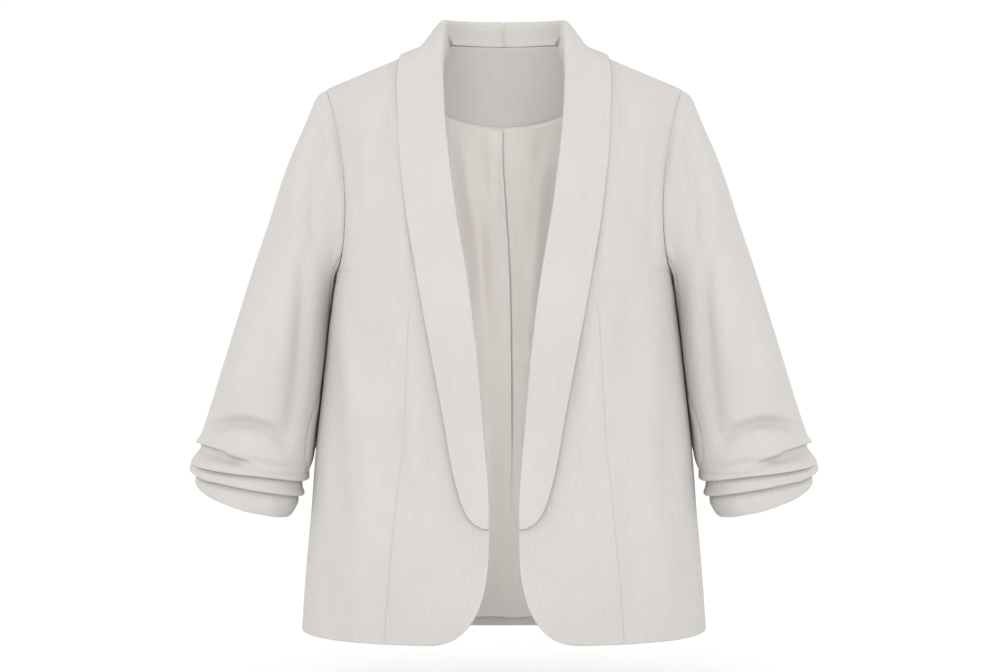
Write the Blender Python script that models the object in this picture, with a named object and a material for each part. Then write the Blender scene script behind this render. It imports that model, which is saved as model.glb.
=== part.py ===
"""A shawl-collar blazer with gathered three-quarter sleeves, worn open on a general figure.

+Z is up, the fronts face -Y and the wearer's left is +X. The origin is inside the neck opening, level with
the base of the neck. Every piece is a thin wall of cloth cut to the surface of the worn garment.
"""

import math
from collections import namedtuple

import bmesh
import bpy
import numpy as np

# Cloth: the walls, the gap at a seam, and the gaps between layers that lie on each other
SHELL_WALL = 0.0018
FACING_WALL = 0.0012
LINING_WALL = 0.0010
SEAM_GAP = 0.0003
LAYER_GAP = 0.0012
FACING_GAP = 0.0012
LINING_GAP = 0.0023
LINING_SEAM = 0.0009

# Shoulders and neck: the shoulder's tip, the shoulder line's fall, how far down its rounding reaches,
# and how square the body is seen from above (2 would be an ellipse)
TIP_X = 0.2035
TIP_Z = -0.0450
SHOULDER_SLOPE = 0.4327
NECK_ROUNDING = 0.020
NECK_Z = 0.0085
RIDGE_BACK = 0.030
UNDERARM_Z = -0.257
DOME_SHARE = 0.5
SQUARENESS = 2.5

# Hem and lower front corner
HEM_FRONT_Z = -0.6700
HEM_SIDE_Z = -0.6608
HEM_RISE_POWER = 1.6
CORNER_X = 0.086
CORNER_TOP_Z = -0.555
CORNER_POWER = 2.45
CORNER_COLUMN = 0.20

# Collar: its roll, and where the front's edge ends inside that roll
BREAK_Z = -0.5413
BREAK_LENGTH = 0.010
ROLL_RADIUS = 0.0021
NECK_ROLL_RADIUS = 0.0060
ROLL_SETBACK = 0.0048
ROLL_FULLNESS = 1.6
NOTCH_DEPTH = 0.0055
NOTCH_Z = -0.030
FOOT_GAP = 0.0009
LAPEL_TOP_Z = 0.002
LAPEL_LIFT_WAY = (0, -0.7, 0.7)
COLLAR_OUT = SHELL_WALL / 2 + LAYER_GAP
COLLAR_IN = 1.5 * SHELL_WALL + LAYER_GAP

# Back neck facing and lining
FACING_HALF_WIDTH = 0.108
FACING_CURVE_X = 0.115
FACING_NECK_X = 0.074
FACING_NECK_Z = 0.0080
FACING_LOW_Z = -0.0814
FACING_RISE = 0.0700
LINING_HEM_Z = -0.6596
LINING_INSET = 0.004
PLEAT_DEPTH = 0.0026
PLEAT_WIDTH = 0.030
PLEAT_TOP_Z = -0.06
PLEAT_END_Z = -0.56
PLEAT_FADE = 0.10
PLEAT_TUCK = 0.0008
PLEAT_REACH = 0.5

# Sleeve: its seams, as angles round it from its innermost line, and how square its sections are
FRONT_SEAM_ANGLE = math.radians(36)
BACK_SEAM_ANGLE = math.radians(75)
SLEEVE_SQUARENESS = 0.92
UNDERARM_TURN = 1.6

Level = namedtuple("Level", "z half_width front_depth back_depth")
BODY_LEVELS = (
    Level(-0.700, 0.2335, 0.1290, 0.1210),
    Level(-0.593, 0.2262, 0.1245, 0.1130),
    Level(-0.497, 0.2172, 0.1210, 0.1020),
    Level(-0.412, 0.2081, 0.1195, 0.0950),
    Level(-0.330, 0.1991, 0.1215, 0.0990),
    Level(-0.267, 0.1917, 0.1240, 0.1070),
    Level(-0.200, 0.1900, 0.1180, 0.1120),
    Level(-0.150, 0.1930, 0.1090, 0.1110),
    Level(-0.113, 0.1980, 0.1020, 0.1080),
    Level(-0.045, 0.2120, 0.0920, 0.1030),
    Level(0.040, 0.2240, 0.0870, 0.0990),
)

Armhole = namedtuple("Armhole", "z front_x back_x")
ARMHOLE_LEVELS = (
    Armhole(-0.2505, 0.1872, 0.1882),
    Armhole(-0.2193, 0.1815, 0.1840),
    Armhole(-0.1863, 0.1800, 0.1828),
    Armhole(-0.1506, 0.1818, 0.1845),
    Armhole(-0.1127, 0.1867, 0.1885),
    Armhole(-0.0746, 0.1949, 0.1955),
    Armhole(-0.0454, 0.2035, 0.2035),
)

# The front edge: the line on which the collar rolls, then the edge below the break.
Edge = namedtuple("Edge", "z x")
FRONT_EDGE = (
    Edge(0.0340, 0.0690),
    Edge(-0.0275, 0.0694),
    Edge(-0.0645, 0.0677),
    Edge(-0.1128, 0.0635),
    Edge(-0.1840, 0.0544),
    Edge(-0.2694, 0.0402),
    Edge(-0.3512, 0.0301),
    Edge(-0.4485, 0.0221),
    Edge(-0.5048, 0.0175),
    Edge(-0.5413, 0.0167),
    Edge(-0.5550, 0.0169),
)

# Where the roll stands round the neck, from the centre back to the front.
NeckRoll = namedtuple("NeckRoll", "x y z edge_x edge_z foot_x foot_y")
NECK_ROLL = (
    NeckRoll(0.0000, 0.0650, 0.0375, 0.0000, -0.0180, 0.0000, 0.0665),
    NeckRoll(0.0300, 0.0590, 0.0372, 0.0420, -0.0180, 0.0300, 0.0592),
    NeckRoll(0.0550, 0.0370, 0.0360, 0.0820, -0.0180, 0.0545, 0.0440),
    NeckRoll(0.0672, 0.0060, 0.0340, 0.1080, -0.0120, 0.0705, 0.0140),
)
# The lapel, from the front of the shoulder to the break: where it rolls, and its outer edge.
Lapel = namedtuple("Lapel", "roll_z lift edge_x edge_z leg")
LAPEL = (
    Lapel(0.0080, 0.0200, 0.1180, -0.0192, 0.004),
    Lapel(-0.0275, 0.0030, 0.1199, -0.0425, 0.018),
    Lapel(-0.0645, 0.0010, 0.1183, -0.0731, 0.022),
    Lapel(-0.1128, 0.0000, 0.1162, -0.1122, 0.022),
    Lapel(-0.1840, 0.0000, 0.1088, -0.1810, 0.022),
    Lapel(-0.2694, 0.0000, 0.0950, -0.2640, 0.022),
    Lapel(-0.3512, 0.0000, 0.0795, -0.3480, 0.022),
    Lapel(-0.4280, 0.0000, 0.0653, -0.4250, 0.020),
    Lapel(-0.4739, 0.0000, 0.0569, -0.4739, 0.018),
    Lapel(-0.5048, 0.0000, 0.0500, -0.5020, 0.015),
    Lapel(-0.5230, 0.0000, 0.0430, -0.5220, 0.012),
    Lapel(-0.5350, 0.0000, 0.0340, -0.5350, 0.009),
    Lapel(-0.5413, 0.0000, 0.0235, -0.5414, 0.006),
)

# The sleeve's sections: its outermost and innermost points, half its depth, how far it hangs forward,
# how much lower its front is, and how far the section has turned from the armhole's shape to its own.
Section = namedtuple("Section", "outer_x outer_z inner_x inner_z depth forward drop own")
SLEEVE_SECTIONS = (
    Section(0.2035, -0.0454, 0.1910, -0.2570, 0.052, 0.000, 0.000, 0.00),
    Section(0.2145, -0.0570, 0.1930, -0.2600, 0.055, 0.000, 0.000, 0.12),
    Section(0.2308, -0.0925, 0.1946, -0.2660, 0.059, 0.000, 0.000, 0.38),
    Section(0.2500, -0.1380, 0.1962, -0.2760, 0.062, 0.001, 0.000, 0.68),
    Section(0.2684, -0.1951, 0.1985, -0.2920, 0.063, 0.002, 0.001, 0.90),
    Section(0.2830, -0.2386, 0.2012, -0.3130, 0.062, 0.003, 0.002, 1.00),
    Section(0.3125, -0.3314, 0.2070, -0.3690, 0.059, 0.005, 0.004, 1.00),
    Section(0.3396, -0.4193, 0.2140, -0.4350, 0.056, 0.007, 0.006, 1.00),
    Section(0.3492, -0.4483, 0.2165, -0.4640, 0.056, 0.008, 0.006, 1.00),
    Section(0.3473, -0.4551, 0.2185, -0.4730, 0.053, 0.008, 0.006, 1.00),
    Section(0.3560, -0.4680, 0.2215, -0.4810, 0.056, 0.008, 0.006, 1.00),
    Section(0.3586, -0.4758, 0.2255, -0.4890, 0.056, 0.008, 0.007, 1.00),
    Section(0.3520, -0.4850, 0.2300, -0.4990, 0.052, 0.008, 0.007, 1.00),
    Section(0.3530, -0.4937, 0.2325, -0.5120, 0.053, 0.008, 0.007, 1.00),
    Section(0.3486, -0.5016, 0.2435, -0.5318, 0.051, 0.008, 0.008, 1.00),
)

# The lining's centre pleat: where its fold hangs, drifting to the wearer's left on the way down.
PleatFold = namedtuple("PleatFold", "z x")
PLEAT_FOLD = (
    PleatFold(-0.070, -0.0014),
    PleatFold(-0.107, -0.0022),
    PleatFold(-0.170, 0.0012),
    PleatFold(-0.230, 0.0050),
    PleatFold(-0.290, 0.0073),
    PleatFold(-0.450, 0.0090),
)

# Where the cloth is divided into rows, from the shoulder to the underarm and from there to the hem,
# and into columns, from the front edge to the side and from the centre back to the side.
UPPER_ROWS = (0, 0.006, 0.024, 0.06, 0.12, 0.20, 0.31, 0.44, 0.58, 0.72, 0.85, 0.95, 1)
LOWER_ROWS = (0.12, 0.26, 0.40, 0.54, 0.68, 0.84, 1)
FRONT_COLUMNS = (0, 0.025, 0.06, 0.10, 0.145, 0.20, 0.32, 0.46, 0.60, 0.74, 0.88, 1)
BACK_COLUMNS = (0, 0.13, 0.26, 0.39, 0.52, 0.64, 0.76, 0.88, 1)
NECK_COLUMN = 0.39

# The collar's rows, from the centre back to the break, and its columns up the leg and down the fall.
# Past LAPEL_START the leg lies inside the front; by NECK_SHARE the neck's full roll gives way to a flat one.
COLLAR_PLACES = (0, 0.035, 0.07, 0.10, 0.125, 0.14, 0.155, 0.17, 0.185, 0.20, 0.225, 0.25, 0.28, 0.31, 0.345,
                 0.38, 0.42, 0.46, 0.50, 0.54, 0.59, 0.65, 0.72, 0.79, 0.86, 0.91, 0.95, 0.98, 1)
LEG_SHARES = (0, 0.55, 0.90)
FALL_SHARES = (0, 0.12, 0.30, 0.53, 0.77, 1)
LAPEL_START = 0.17
NECK_SHARE = ((0, 0.10, 0.24, 1), (1, 1, 0, 0))

# The facing's columns and rows, then the lining's, with two columns either side of the pleat's fold.
FACING_COLUMNS = 15
FACING_ROWS = 5
LINING_COLUMNS = (-1, -0.85, -0.70, -0.58, -0.50, -0.34, -0.18, -0.06, 0.0, 0.012, 0.10, 0.22, 0.36,
                  0.50, 0.58, 0.70, 0.85, 1)
LINING_UPPER = (0, 0.10, 0.22, 0.38, 0.56, 0.74, 0.88, 1)
LINING_LOWER = (0.15, 0.32, 0.5, 0.7, 0.86, 1)

# The step, in metres or radians, over which slopes are measured, and how often a solution is refined
STEP = 1e-4
REFINEMENTS = 12

SHELL_COLOUR = (0.716, 0.692, 0.651)
FACING_COLOUR = (0.640, 0.620, 0.585)
LINING_COLOUR = (0.760, 0.680, 0.640)


def smooth_column(rows, along, column):
    """A smooth curve through one column of a table, to be read at any place along another column."""
    rows = sorted(rows, key=lambda row: getattr(row, along))
    place = np.array([getattr(row, along) for row in rows])
    value = np.array([getattr(row, column) for row in rows])
    return smooth_through(place, value)


def smooth_through(place, value):
    """A cubic curve through values at rising places, which never swings past them."""
    place = np.asarray(place, float)
    value = np.asarray(value, float)
    slope = np.diff(value) / np.diff(place)
    before, after = slope[:-1], slope[1:]
    total = np.where(before + after == 0, 1, before + after)
    inner = np.where(before * after > 0, 2 * before * after / total, 0)
    tangent = np.concatenate([slope[:1], inner, slope[-1:]])

    def read(where):
        where = np.clip(where, place[0], place[-1])
        i = np.clip(np.searchsorted(place, where) - 1, 0, len(place) - 2)
        step = place[i + 1] - place[i]
        t = (where - place[i]) / step
        ends = value[i] * (1 + 2 * t) * (1 - t) ** 2 + value[i + 1] * t * t * (3 - 2 * t)
        bends = step * (tangent[i] * t * (1 - t) ** 2 - tangent[i + 1] * t * t * (1 - t))
        return ends + bends

    return read


half_width = smooth_column(BODY_LEVELS, "z", "half_width")
front_depth = smooth_column(BODY_LEVELS, "z", "front_depth")
back_depth = smooth_column(BODY_LEVELS, "z", "back_depth")
front_edge = smooth_column(FRONT_EDGE, "z", "x")
pleat_fold = smooth_column(PLEAT_FOLD, "z", "x")
neck_share = smooth_through(*NECK_SHARE)


def armhole_line(column):
    """The armhole's distance from the centre at each height; at the underarm it reaches the side."""
    side = float(half_width(UNDERARM_Z))
    rows = [Armhole(UNDERARM_Z, side, side), *ARMHOLE_LEVELS]
    return smooth_column(rows, "z", column)


armhole_front = armhole_line("front_x")
armhole_back = armhole_line("back_x")


def signed_power(value, exponent):
    return np.sign(value) * np.abs(value) ** exponent


def unit(vectors):
    return vectors / np.linalg.norm(vectors, axis=-1, keepdims=True)


def ridge_reach(x):
    """Distance from the centre, rounded off there so that both shoulders join smoothly."""
    return np.sqrt(x * x + NECK_ROUNDING**2)


def ridge_height(x):
    """Height of the shoulder line."""
    return TIP_Z + (TIP_X - ridge_reach(x)) * SHOULDER_SLOPE


def ridge_back(x):
    """How far behind the centre the shoulder line lies."""
    return RIDGE_BACK * np.clip(1 - ridge_reach(x) / TIP_X, 0, 1) ** 1.5


def dome(x, z):
    """0 on the shoulder line, rising to 1 where the shoulder's rounding ends."""
    share = (ridge_height(x) - z) / (ridge_height(x) - UNDERARM_Z)
    return np.sqrt(1 - (1 - np.clip(share / DOME_SHARE, 0, 1)) ** 2)


def torso_point(angle, z):
    """The body's surface. The angle is 0 at the centre front, a right angle at the left side."""
    x = half_width(z) * signed_power(np.sin(angle), 2 / SQUARENESS)
    facing = np.cos(angle)
    depth = np.where(facing > 0, -front_depth(z), back_depth(z))
    full = depth * np.abs(facing) ** (2 / SQUARENESS)
    rounding = dome(x, z)
    y = ridge_back(x) * (1 - rounding) + full * rounding
    return np.stack([x, y, np.broadcast_to(z, x.shape)], axis=-1)


def torso_normal(angle, z):
    around = torso_point(angle + STEP, z) - torso_point(angle - STEP, z)
    upward = torso_point(angle, z + STEP) - torso_point(angle, z - STEP)
    return unit(np.cross(around, upward))


def angle_at(x, z):
    """The angle, from the centre front or back, at which the body's surface reaches x."""
    share = np.clip(x / half_width(z), -1, 1)
    return np.arcsin(signed_power(share, SQUARENESS / 2))


def front_top(x):
    return ridge_height(x)


def back_top(x):
    return np.minimum(ridge_height(x), NECK_Z)


def row_height(top, share, x):
    """Height, at x, of the row that lies at a share of the way from the top line to the underarm."""
    return top(x) + (UNDERARM_Z - top(x)) * share


def height_on_row(top, share, line):
    """Where a row between the shoulder and the underarm crosses a line x(z)."""
    z = np.full(np.shape(share), UNDERARM_Z)
    for _ in range(REFINEMENTS):
        z = row_height(top, share, line(z))
    return z


def upper_rows(top, shares, first_line, last_line, columns):
    """Angles and heights of the rows above the underarm, between two lines x(z)."""
    shares = np.asarray(shares, float)[:, None]
    first_z = height_on_row(top, shares, first_line)
    last_z = height_on_row(top, shares, last_line)
    first = angle_at(first_line(first_z), first_z)
    last = angle_at(last_line(last_z), last_z)
    angles = first + (last - first) * np.asarray(columns, float)[None, :]
    z = first_z + (last_z - first_z) * np.asarray(columns, float)[None, :]
    for _ in range(REFINEMENTS):
        x = half_width(z) * signed_power(np.sin(angles), 2 / SQUARENESS)
        z = row_height(top, shares, x)
    return angles, z


def hem_height(turn):
    """The hem's height; turn runs from 0 at the centre to 1 at the side."""
    return HEM_FRONT_Z + (HEM_SIDE_Z - HEM_FRONT_Z) * np.clip(turn, 0, 1) ** HEM_RISE_POWER


def panel_edge(z):
    """The edge of the front: inside the collar's roll above the break, bare below it."""
    inside_roll = np.clip((z - BREAK_Z) / BREAK_LENGTH, 0, 1)
    notch = np.clip((z - NOTCH_Z) / -NOTCH_Z, 0, 1)
    return front_edge(z) + ROLL_SETBACK * inside_roll + NOTCH_DEPTH * notch


def front_grid(columns, upper, lower):
    """Angles and heights of the left front's rows, from the shoulder to the hem."""
    columns = np.asarray(columns, float)
    angles, z = upper_rows(front_top, upper, panel_edge, armhole_front, columns)
    edge_x = float(front_edge(CORNER_TOP_Z))
    turn = np.clip(columns / CORNER_COLUMN, 0, 1) * math.pi / 2
    corner_x = CORNER_X - (CORNER_X - edge_x) * signed_power(np.cos(turn), 2 / CORNER_POWER)
    corner_drop = (CORNER_TOP_Z - HEM_FRONT_Z) * signed_power(np.sin(turn), 2 / CORNER_POWER)
    corner = angle_at(corner_x, CORNER_TOP_Z - corner_drop)
    along_hem = np.clip((columns - CORNER_COLUMN) / (1 - CORNER_COLUMN), 0, 1)
    bottom = corner + (math.pi / 2 - corner[-1]) * along_hem
    bottom_z = np.where(columns < CORNER_COLUMN, CORNER_TOP_Z - corner_drop, hem_height(along_hem))
    share_at_hem = (bottom - bottom[0]) / (math.pi / 2 - bottom[0])
    share = np.asarray(lower, float)[:, None]
    low_z = UNDERARM_Z + (bottom_z - UNDERARM_Z) * share
    edge_angle = angle_at(panel_edge(low_z[:, :1]), low_z[:, :1])
    across = columns + (share_at_hem - columns) * share**2
    low_angles = edge_angle + (math.pi / 2 - edge_angle) * across
    return np.vstack([angles, low_angles]), np.vstack([z, low_z])


def back_grid(columns, upper, lower):
    """Angles from the centre back, and heights, of the back's left half."""
    columns = np.asarray(columns, float)
    neck_reach = TIP_X - (NECK_Z - TIP_Z) / SHOULDER_SLOPE
    neck_x = math.sqrt(neck_reach**2 - NECK_ROUNDING**2)

    def centre(z):
        return np.zeros(np.shape(z))

    def under_neck(z):
        return np.full(np.shape(z), neck_x)

    split = np.searchsorted(columns, NECK_COLUMN)
    inner = columns[: split + 1] / NECK_COLUMN
    outer = (columns[split + 1 :] - NECK_COLUMN) / (1 - NECK_COLUMN)
    near, near_z = upper_rows(back_top, upper, centre, under_neck, inner)
    far, far_z = upper_rows(back_top, upper, under_neck, armhole_back, outer)
    top_angles, top_z = np.hstack([near, far]), np.hstack([near_z, far_z])
    share = np.asarray(lower, float)[:, None]
    even = top_angles[-1] / (math.pi / 2)
    low_z = UNDERARM_Z + (hem_height(even) - UNDERARM_Z) * share
    low_angles = np.broadcast_to(top_angles[-1], low_z.shape)
    return np.vstack([top_angles, low_angles]), np.vstack([top_z, low_z])


def whole_back(half, z):
    """Both halves of the back, from the wearer's right to the left, as angles round the body."""
    angles = math.pi - np.hstack([-half[:, :0:-1], half])
    return angles, np.hstack([z[:, :0:-1], z])


def skin(angles, z, inward=0.0):
    """Points of the body's surface, moved inward along its normals."""
    return torso_point(angles, z) - inward * torso_normal(angles, z)


def front_faces(columns, upper, lower):
    """Outer and inner points of the left front, clear of the back at the shoulder and the side."""
    angles, z = front_grid(columns, upper, lower)
    faces = [skin(angles, z), skin(angles, z, SHELL_WALL)]
    for points in faces:
        points[0, :, 1] -= SEAM_GAP / 2
        points[len(upper) - 1 :, -1, 1] -= SEAM_GAP / 2
    return faces


def back_faces(columns, upper, lower):
    """Outer and inner points of the back, clear of the fronts at the shoulders and the sides."""
    half, half_z = back_grid(columns, upper, lower)
    angles, z = whole_back(half, half_z)
    faces = [skin(angles, z), skin(angles, z, SHELL_WALL)]
    for points in faces:
        points[0, :, 1] += SEAM_GAP / 2
        points[len(upper) - 1 :, [0, -1], 1] += SEAM_GAP / 2
    return faces


def grid_normals(points, closed=False):
    """Normals of a grid of points, from the differences of its neighbours."""
    down = np.gradient(points, axis=0)
    if closed:
        along = np.roll(points, -1, axis=1) - np.roll(points, 1, axis=1)
    else:
        along = np.gradient(points, axis=1)
    return unit(np.cross(down, along))


def armhole_loop(upper):
    """The left armhole from the shoulder tip down the front and up the back: points and normals."""
    front, front_z = front_grid((0, 1), upper, (1,))
    back, back_z = back_grid((0, NECK_COLUMN, 1), upper, (1,))
    rows = len(upper)
    angles = np.concatenate([front[:rows, -1], math.pi - back[rows - 2 : 0 : -1, -1]])
    z = np.concatenate([front_z[:rows, -1], back_z[rows - 2 : 0 : -1, -1]])
    return torso_point(angles, z), torso_normal(angles, z)


def sleeve_angles(loop, rows):
    """An angle for each point of the armhole: 0 at the shoulder tip, half a turn at the underarm."""
    steps = np.linalg.norm(np.diff(np.vstack([loop, loop[:1]]), axis=0), axis=1)
    walked = np.concatenate([[0], np.cumsum(steps)])
    front, whole = walked[rows - 1], walked[-1]
    walked = walked[:-1]
    down = walked / front
    up = 1 + (walked - front) / (whole - front)
    return math.pi * np.where(walked <= front, down, up)


def section_curve(column):
    """A smooth curve through a column of the sleeve's sections, read by section number."""
    values = [getattr(section, column) for section in SLEEVE_SECTIONS]
    return smooth_through(range(len(SLEEVE_SECTIONS)), values)


def sleeve_rings(places, upper):
    """Outer points of the left sleeve, a ring for each place along its sections."""
    loop, _ = armhole_loop(upper)
    turn = sleeve_angles(loop, len(upper))
    first = SLEEVE_SECTIONS[0]
    top = np.array([first.outer_x, first.outer_z])
    chord = np.array([first.inner_x, first.inner_z]) - top
    across = np.array([-chord[1], chord[0]]) / np.linalg.norm(chord)
    flat = loop[:, [0, 2]] - top
    along_share = flat @ chord / (chord @ chord)
    off_chord = flat @ across
    places = np.asarray(places, float)[:, None]
    read = {name: section_curve(name)(places) for name in Section._fields}
    start = np.stack([read["outer_x"], read["outer_z"]], axis=-1)
    line = np.stack([read["inner_x"], read["inner_z"]], axis=-1) - start
    square = np.stack([-line[..., 1], line[..., 0]], axis=-1)
    square = square / np.linalg.norm(square, axis=-1, keepdims=True)
    own = read["own"]
    share = along_share * (1 - own) + (1 - np.cos(turn)) / 2 * own
    bulge = off_chord * (1 - own)
    forward = np.sin(turn)
    oval = signed_power(forward, SLEEVE_SQUARENESS) * read["depth"]
    flat_points = start + share[..., None] * line + bulge[..., None] * square
    y = loop[:, 1] * (1 - own) - oval * own - read["forward"] * np.sin(turn / 2) ** 2
    z = flat_points[..., 1] - read["drop"] * forward
    return np.stack([flat_points[..., 0], y, z], axis=-1), turn


def sleeve_faces(places, upper):
    """Outer and inner points of the left sleeve, and each column's angle round it."""
    outer, turn = sleeve_rings(places, upper)
    loop, panel_normals = armhole_loop(upper)
    normals = -grid_normals(outer, closed=True)
    lower_half = np.clip((1 - np.cos(turn)) / 2 * UNDERARM_TURN - 0.5, 0, 1)[:, None]
    normals[0] = unit(panel_normals * (1 - lower_half) + normals[0] * lower_half)
    outer[0] = loop
    inner = outer - SHELL_WALL * normals
    for ring in (outer[0], inner[0]):
        ring[:, 0] += SEAM_GAP
    return outer, inner, turn


def sleeve_piece(faces, turn, first_angle, last_angle):
    """The columns between two seams, with half the seam's gap left at each."""
    count = len(turn)
    first = int(np.argmin(np.abs(turn - first_angle % (2 * math.pi))))
    last = int(np.argmin(np.abs(turn - last_angle % (2 * math.pi))))
    columns = np.arange(first, last + 1 if last > first else last + count + 1) % count
    cut = []
    for points in faces:
        piece = points[:, columns].copy()
        for end, neighbour in ((0, 1), (-1, -2)):
            toward = unit(piece[:, neighbour] - piece[:, end])
            piece[:, end] += toward * SEAM_GAP / 2
        cut.append(piece)
    return cut


def torso_gauge(points):
    """Signed distance outside the body's surface, and the way out, near the shoulders and chest."""

    def implicit(p):
        x, y, z = p[..., 0], p[..., 1], p[..., 2]
        ridge, back = ridge_height(x), ridge_back(x)
        side = np.where(y < back, -front_depth(z), back_depth(z))
        reach = 1 - np.clip(np.abs(x) / half_width(z), 0, 0.999) ** SQUARENESS
        full = side * reach ** (1 / SQUARENESS)
        over = 1 - np.minimum((ridge - z) / (ridge - UNDERARM_Z) / DOME_SHARE, 1)
        return ((y - back) / (full - back)) ** 2 + over**2 - 1

    slope = np.stack(
        [(implicit(points + STEP * axis) - implicit(points - STEP * axis)) / (2 * STEP)
         for axis in np.eye(3)],
        axis=-1,
    )
    steepness = np.linalg.norm(slope, axis=-1)
    return implicit(points) / steepness, slope / steepness[..., None]


def kept_outside(points, least):
    """Points moved out until they are at least this far outside the body's surface."""
    for _ in range(REFINEMENTS):
        distance, way = torso_gauge(points)
        points = points + np.clip(least - distance, 0, None)[..., None] * way
    return points


def kept_inside(points, least):
    """Points moved in until they are at least this far inside the body's surface."""
    for _ in range(REFINEMENTS):
        distance, way = torso_gauge(points)
        points = points - np.clip(least + distance, 0, None)[..., None] * way
    return points


def front_point(x, z, out=0.0):
    return skin(angle_at(x, z), np.asarray(z, float), -out)


def back_point(x, z, out=0.0):
    return skin(math.pi - angle_at(x, z), np.asarray(z, float), -out)


def collar_lines():
    """The collar's foot, roll and outer edge, as points from the centre back to the break."""
    foot, roll, edge = [], [], []
    for place in NECK_ROLL:
        foot.append([place.foot_x, place.foot_y, NECK_Z + FOOT_GAP])
        roll.append([place.x, place.y, place.z])
        edge.append(back_point(place.edge_x, place.edge_z, COLLAR_OUT))
    for place in LAPEL:
        x = float(front_edge(place.roll_z))
        z = min(place.roll_z, LAPEL_TOP_Z)
        foot.append(front_point(x + place.leg, z, -COLLAR_IN))
        roll.append(front_point(x, z) + np.array(LAPEL_LIFT_WAY) * place.lift)
        edge.append(front_point(place.edge_x, place.edge_z, COLLAR_OUT))
    return np.array(foot), np.array(roll), np.array(edge)


def bezier(t, start, first, second, end):
    t = t[None, :, None]
    start, first, second, end = (p[:, None, :] for p in (start, first, second, end))
    return (1 - t) ** 3 * start + 3 * (1 - t) ** 2 * t * first + 3 * (1 - t) * t**2 * second + t**3 * end


def collar_middle(places, leg_shares, fall_shares):
    """The middle of the collar's cloth: a row for each place from the centre back to the break,
    running from its foot inside the neck, over the roll, to its outer edge."""
    foot, roll, edge = collar_lines()
    walked = np.concatenate([[0], np.cumsum(np.linalg.norm(np.diff(roll, axis=0), axis=1))])
    where = np.asarray(places, float) * walked[-1]

    def along(points, at):
        return np.stack([smooth_through(walked, points[:, i])(at) for i in range(3)], axis=-1)

    tangent = unit(along(roll, where + STEP) - along(roll, where - STEP))
    foot, roll, edge = along(foot, where), along(roll, where), along(edge, where)
    apex = roll - foot
    apex = unit(apex - np.sum(apex * tangent, axis=-1, keepdims=True) * tangent)
    outward = unit(np.cross(apex, tangent))
    outward = outward * np.sign(np.sum(outward * (edge - foot), axis=-1, keepdims=True))
    fall = np.linalg.norm(edge - roll, axis=-1, keepdims=True)
    leg = np.linalg.norm(roll - foot, axis=-1, keepdims=True)
    neck = neck_share(np.asarray(places, float))[:, None]
    bend = outward * ROLL_FULLNESS * (ROLL_RADIUS + (NECK_ROLL_RADIUS - ROLL_RADIUS) * neck)
    _, way = torso_gauge(edge)
    onto = edge - roll
    landing = unit(onto - np.sum(onto * way, axis=-1, keepdims=True) * way)
    fall_row = bezier(np.asarray(fall_shares), roll, roll + bend, edge - landing * fall / 2, edge)
    leg_row = bezier(np.asarray(leg_shares), foot, foot + apex * leg / 2, roll - bend, roll)
    fall_row[:, 1:] = kept_outside(fall_row[:, 1:], COLLAR_OUT)
    in_front = np.asarray(places) > LAPEL_START
    leg_row[in_front, :-1] = kept_inside(leg_row[in_front, :-1], COLLAR_IN)
    return leg_row, fall_row


def collar_faces():
    """The left collar's two faces, half the seam's gap from the centre back."""
    leg, fall = collar_middle(COLLAR_PLACES, LEG_SHARES, FALL_SHARES)
    middle = np.concatenate([leg, fall], axis=1)
    normals = grid_normals(middle)
    normals[0, :, 0] = 0
    normals = unit(normals)
    faces = [middle + normals * SHELL_WALL / 2, middle - normals * SHELL_WALL / 2]
    for points in faces:
        points[0, :, 0] = SEAM_GAP / 2
    return faces


def facing_low_edge(x):
    """Height of the back neck facing's lower edge, which curves up toward the shoulders."""
    bend = np.sqrt(np.clip(1 - (x / FACING_CURVE_X) ** 2, 0, 1))
    return FACING_LOW_Z + FACING_RISE * (1 - bend)


def facing_faces():
    """The facing lies inside the back, from under the collar's stand to its curved lower edge."""
    turn = np.linspace(-1, 1, FACING_COLUMNS) * math.pi / 2
    across = np.linspace(0, 1, FACING_ROWS)[:, None]
    upper_x = FACING_NECK_X * np.sin(turn)
    upper_z = FACING_NECK_Z * np.ones(len(turn))
    lower_x = FACING_HALF_WIDTH * np.sin(turn)
    lower_z = facing_low_edge(lower_x) + SEAM_GAP / 2
    x = upper_x + (lower_x - upper_x) * across
    z = upper_z + (lower_z - upper_z) * across
    angles = math.pi - angle_at(x, z)
    under = SHELL_WALL + FACING_GAP
    return [skin(angles, z, under), skin(angles, z, under + FACING_WALL)]


def lining_top(x):
    """The lining's upper line: the facing's edge near the neck, the shoulder line beyond it."""
    below_facing = facing_low_edge(x) - LINING_SEAM
    below_shoulder = ridge_height(x) - LINING_INSET
    return np.where(np.abs(x) < FACING_HALF_WIDTH, np.minimum(below_facing, below_shoulder), below_shoulder)


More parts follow.
